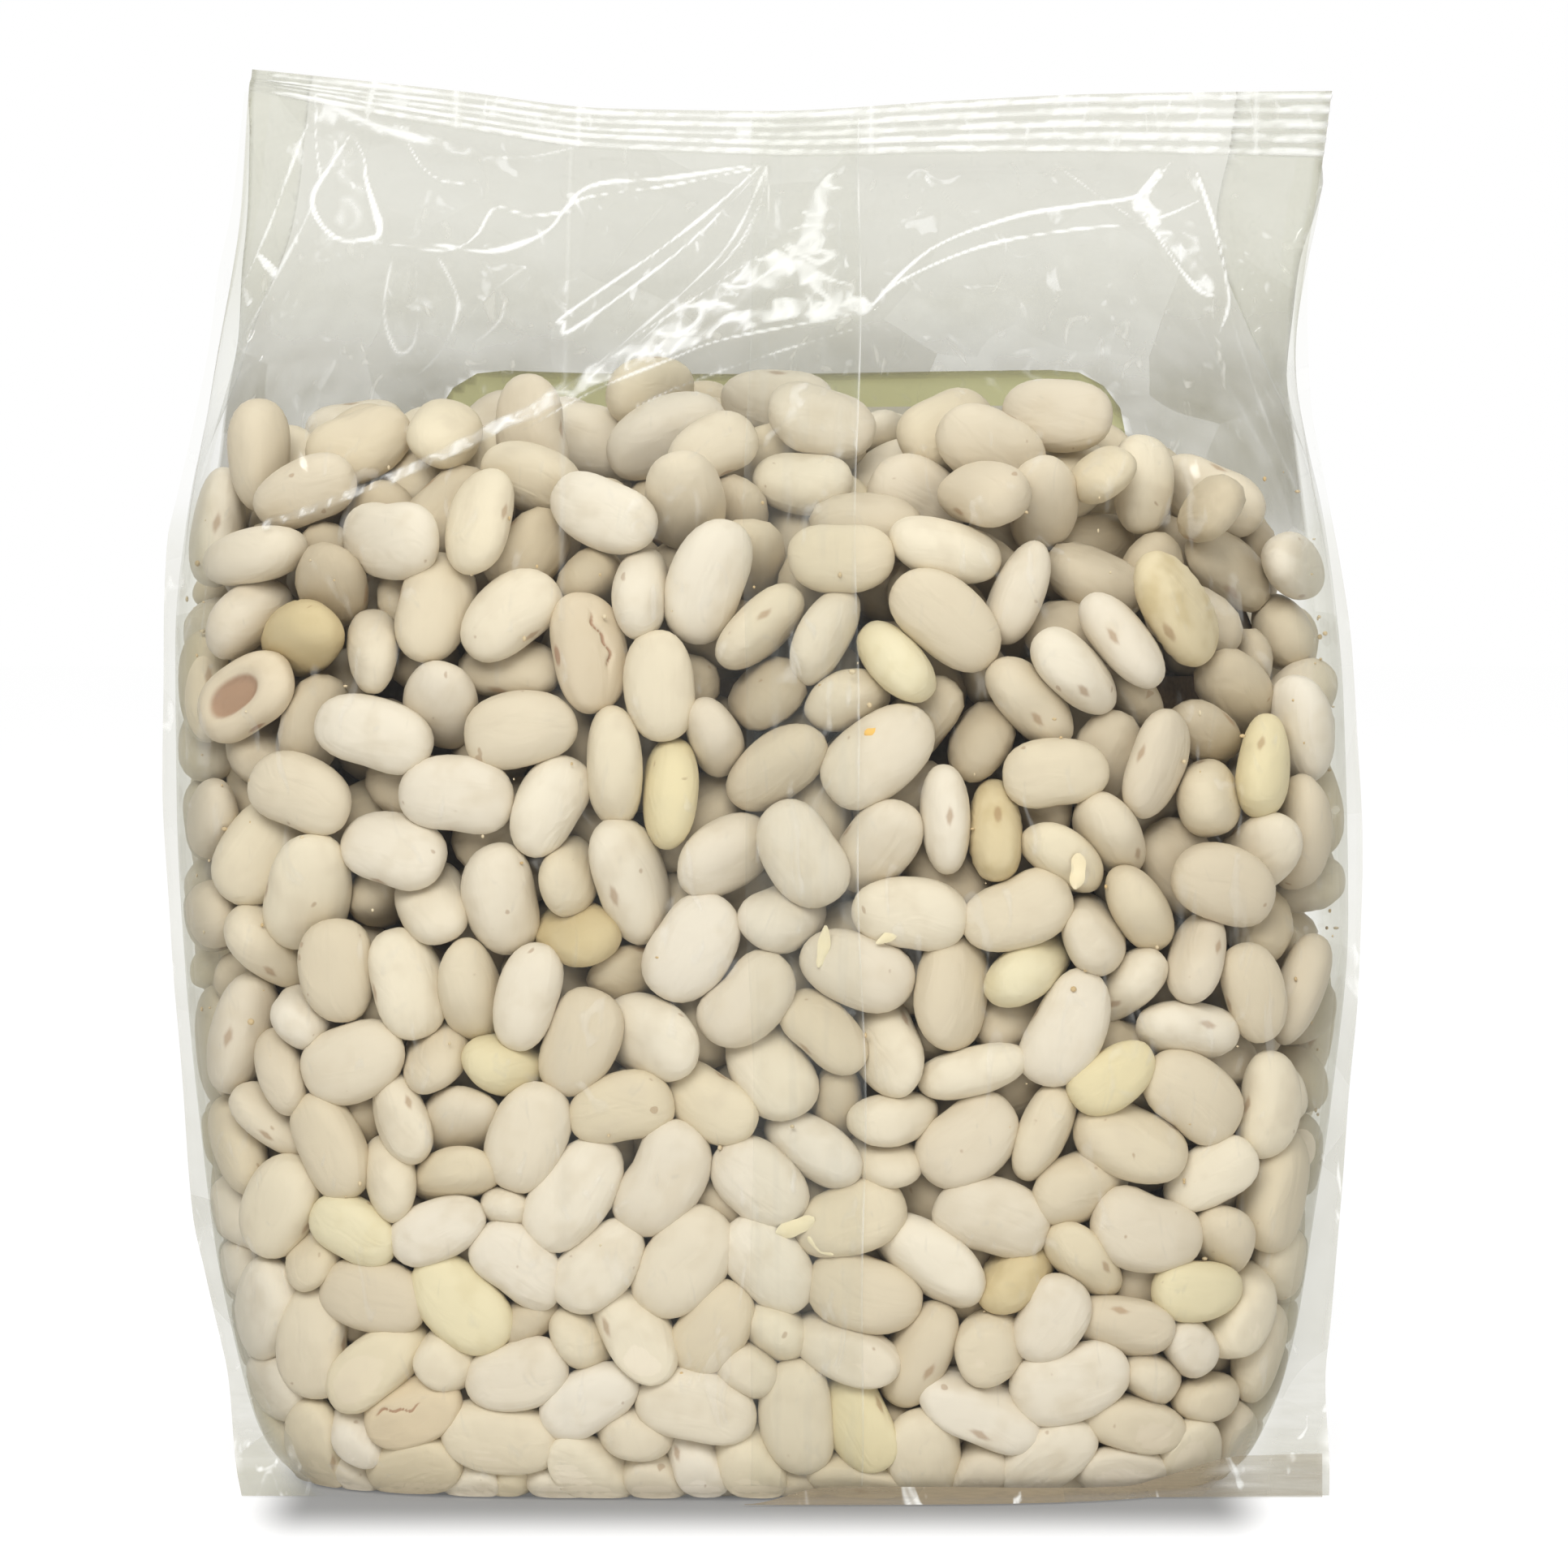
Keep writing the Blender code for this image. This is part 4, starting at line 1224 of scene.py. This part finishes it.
def build_label():
    """Label on the front panel: its pale underside, painted lighter than the print as painted light, and a
    plain print of a border, a field and a block.
    """
    materials = [
        # The underside's colours are painted light: lighter than the print, for the little light that
        # reaches it inside the bag.
        label_material("label_under_green_lightened", linear(243, 245, 198), linear(246, 247, 206)),
        label_material("label_under_pale_lightened", linear(242, 240, 232), linear(246, 244, 238)),
        label_material("label_green", linear(164, 176, 92), linear(172, 184, 104)),
        label_material("label_pale", linear(232, 228, 212), linear(238, 234, 222)),
        label_material("label_block", linear(206, 196, 150), linear(212, 204, 162)),
    ]
    points, faces, slots = [], [], []
    for gap, by_ring in ((LABEL_GAP, UNDER_RINGS), (LABEL_GAP + LABEL_THICKNESS, PRINT_RINGS)):
        made, around, shows = label_sheet(gap, LABEL_BORDER, LABEL_CORNER)
        first = sum(map(len, points))
        faces += [[first + i for i in face] for face in around]
        slots += [by_ring[show] for show in shows]
        points.append(made)
    piece = new_piece("label_print", np.concatenate(points), faces, materials[0])
    for material in materials[1:]:
        piece.data.materials.append(material)
    piece.data.polygons.foreach_set("material_index", slots)
    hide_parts("label")
    return piece


def rounded_outline(half_x, half_z, corner):
    """Points (x, z) around a rectangle with rounded corners."""
    out = []
    for turn, (sx, sz) in enumerate(((1, 1), (-1, 1), (-1, -1), (1, -1))):
        for angle in np.linspace(0.0, np.pi / 2.0, 8):
            a = angle + turn * np.pi / 2.0
            x = sx * (half_x - corner) + corner * math.cos(a)
            out.append((x, sz * (half_z - corner) + corner * math.sin(a)))
    out = np.array(out)
    closed = np.concatenate([out, out[:1]])
    length = np.concatenate([[0.0], np.cumsum(np.linalg.norm(np.diff(closed, axis=0), axis=1))])
    at = np.linspace(0.0, length[-1], 96, endpoint=False)
    return np.stack([np.interp(at, length, closed[:, 0]), np.interp(at, length, closed[:, 1])], 1)


def front_of(xz, gap):
    """Points just outside the front panel at given places (x, z)."""
    x, z = xz.T
    side = np.where(x > 0, reach(True, z), reach(False, z))
    p = power(z)
    y = half_depth(z) * (1.0 - (np.abs(x) / side).clip(0.0, 0.999) ** p) ** (1.0 / p)
    return shape_top(np.stack([x, y + gap, z], 1))


# ---------------------------------------------------------------- stage
# Reflectance and glow of the seen floor in the painted shadow at the bag's foot, near the bag and far
# behind it.
SHADOW_WHITE, FLOOR_WHITE = 0.20, 0.30
SHADOW_GLOW, NEAR_GLOW, FAR_GLOW = 0.17, 0.82, 0.95
# How far from the bag the floor's painted soft shadow ends, and where its glow changes from near to far.
SHADOW_REACH = 0.028
FAR_FLOOR = (0.15, 1.10)
WORLD_LIGHT = 0.14
WHITE = (1.0, 1.0, 1.0, 1.0)


def far_from_foot(tree):
    """Distance on the floor from the bag's footprint, counted three times over sideways."""
    place = node(tree, "TexCoord").outputs["Object"]
    sides = node(tree, "SeparateXYZ", Vector=place)
    squares = []
    for side, half, times in ((0, 0.057, 3.0), (1, 0.034, 1.0)):
        past = maths(tree, "SUBTRACT", maths(tree, "ABSOLUTE", sides.outputs[side]), half)
        past = maths(tree, "MULTIPLY", maths(tree, "MAXIMUM", past, 0.0), times)
        squares.append(maths(tree, "MULTIPLY", past, past))
    return maths(tree, "SQRT", maths(tree, "ADD", *squares))


def floor_material():
    """White floor that lights the bag as plain white, and when seen darkens softly next to it in a painted
    shadow.
    """
    made, tree, output = new_material("floor_white")
    away = far_from_foot(tree)
    near = ramp(tree, away, 0.0, SHADOW_REACH)
    far = ramp(tree, away, *FAR_FLOOR)
    shadow_grey, white = (SHADOW_WHITE,) * 3 + (1.0,), (FLOOR_WHITE,) * 3 + (1.0,)
    diffuse = node(tree, "BsdfDiffuse", Color=blend(tree, near, shadow_grey, white))
    strength = maths(tree, "ADD", maths(tree, "MULTIPLY", near, NEAR_GLOW - SHADOW_GLOW), SHADOW_GLOW)
    strength = maths(tree, "ADD", strength, maths(tree, "MULTIPLY", far, FAR_GLOW - NEAR_GLOW))
    glow = node(tree, "Emission", Color=WHITE, Strength=strength)
    both = merge(tree, "AddShader", diffuse.outputs[0], glow.outputs[0])
    plain = node(tree, "BsdfDiffuse", Color=(0.80, 0.80, 0.80, 1.0))
    mix = merge(tree, "MixShader", plain.outputs[0], both, Fac=seen_directly(tree))
    tree.links.new(mix, output.inputs[0])
    return made


def build_stage():
    """A wide floor, and a world that is white where seen and dim as a light."""
    bpy.ops.mesh.primitive_plane_add(size=6.0, location=(0.0, 0.0, -0.0002))
    floor = bpy.context.object
    floor.name = "floor"
    floor.data.materials.append(floor_material())
    world = bpy.data.worlds.new("studio")
    bpy.context.scene.world = world
    world.use_nodes = True
    tree = world.node_tree
    tree.nodes.clear()
    seen = maths(tree, "MULTIPLY", seen_directly(tree), 1.0 - WORLD_LIGHT)
    back = node(tree, "Background", Color=WHITE, Strength=maths(tree, "ADD", seen, WORLD_LIGHT))
    out = tree.nodes.new("ShaderNodeOutputWorld")
    tree.links.new(back.outputs[0], out.inputs[0])


def lamp(name, place, target, size, watts):
    """A rectangular lamp of a size, at a place, turned to a target."""
    data = bpy.data.lights.new(name, "AREA")
    data.shape = "RECTANGLE"
    data.size, data.size_y = size
    data.energy = watts
    made = bpy.data.objects.new(name, data)
    bpy.context.scene.collection.objects.link(made)
    made.location = place
    aim(made, target)
    return made


def aim(thing, target):
    """Turns a lamp or a camera to look at a target."""
    thing.rotation_euler = (Vector(target) - thing.location).to_track_quat("-Z", "Y").to_euler()


def build_lights():
    """Three soft lamps that don't mirror in the film, and two small ones that do."""
    middle = (0.0, 0.0, 0.5 * HEIGHT)
    soft = [
        lamp("key", (-0.18, -0.80, 0.66), middle, (0.70, 0.50), 7.9),
        lamp("fill", (0.65, -0.60, 0.30), middle, (0.60, 0.60), 1.5),
        lamp("top", (0.05, 0.05, 0.85), middle, (0.70, 0.60), 2.8),
    ]
    for made in soft:
        made.visible_glossy = False
    lamp("glint_left", (-0.50, -0.42, 0.60), middle, (0.035, 0.035), 0.14)
    lamp("glint_right", (0.52, -0.38, 0.60), middle, (0.035, 0.035), 0.14)


def build_camera():
    """The camera at the photo's angle, a little above the middle of the back panel."""
    data = bpy.data.cameras.new("camera")
    camera = bpy.data.objects.new("camera", data)
    bpy.context.scene.collection.objects.link(camera)
    distance, rise, frame_width = 0.75, math.radians(3.2), 0.2067
    target = (3.0 * MM, 0.0, 89.5 * MM)
    back, up = distance * math.cos(rise), distance * math.sin(rise)
    camera.location = (target[0], target[1] - back, target[2] + up)
    aim(camera, target)
    data.sensor_width = 36.0
    data.lens = data.sensor_width * distance / frame_width
    data.clip_start = 0.01
    bpy.context.scene.camera = camera


def main():
    """Builds the film, the beans, the label and the stage, always in the same order of random draws."""
    bpy.context.scene.view_settings.view_transform = "Standard"
    rng = np.random.default_rng(SEED)
    film = film_material("film", linear(170, 167, 147))
    body, back = build_film(film), build_back(film, rng)
    build_lap_seam((body, back), film, rng)
    build_fins(film)
    # The foot's brown cloudy colour is painted shade of the beans behind the fold.
    build_foot(film_material("film_foot_shade", linear(146, 132, 108)))
    build_core()
    build_beans(rng)
    build_chips()
    build_crumbs(rng)
    build_label()
    build_stage()
    build_lights()
    build_camera()


main()
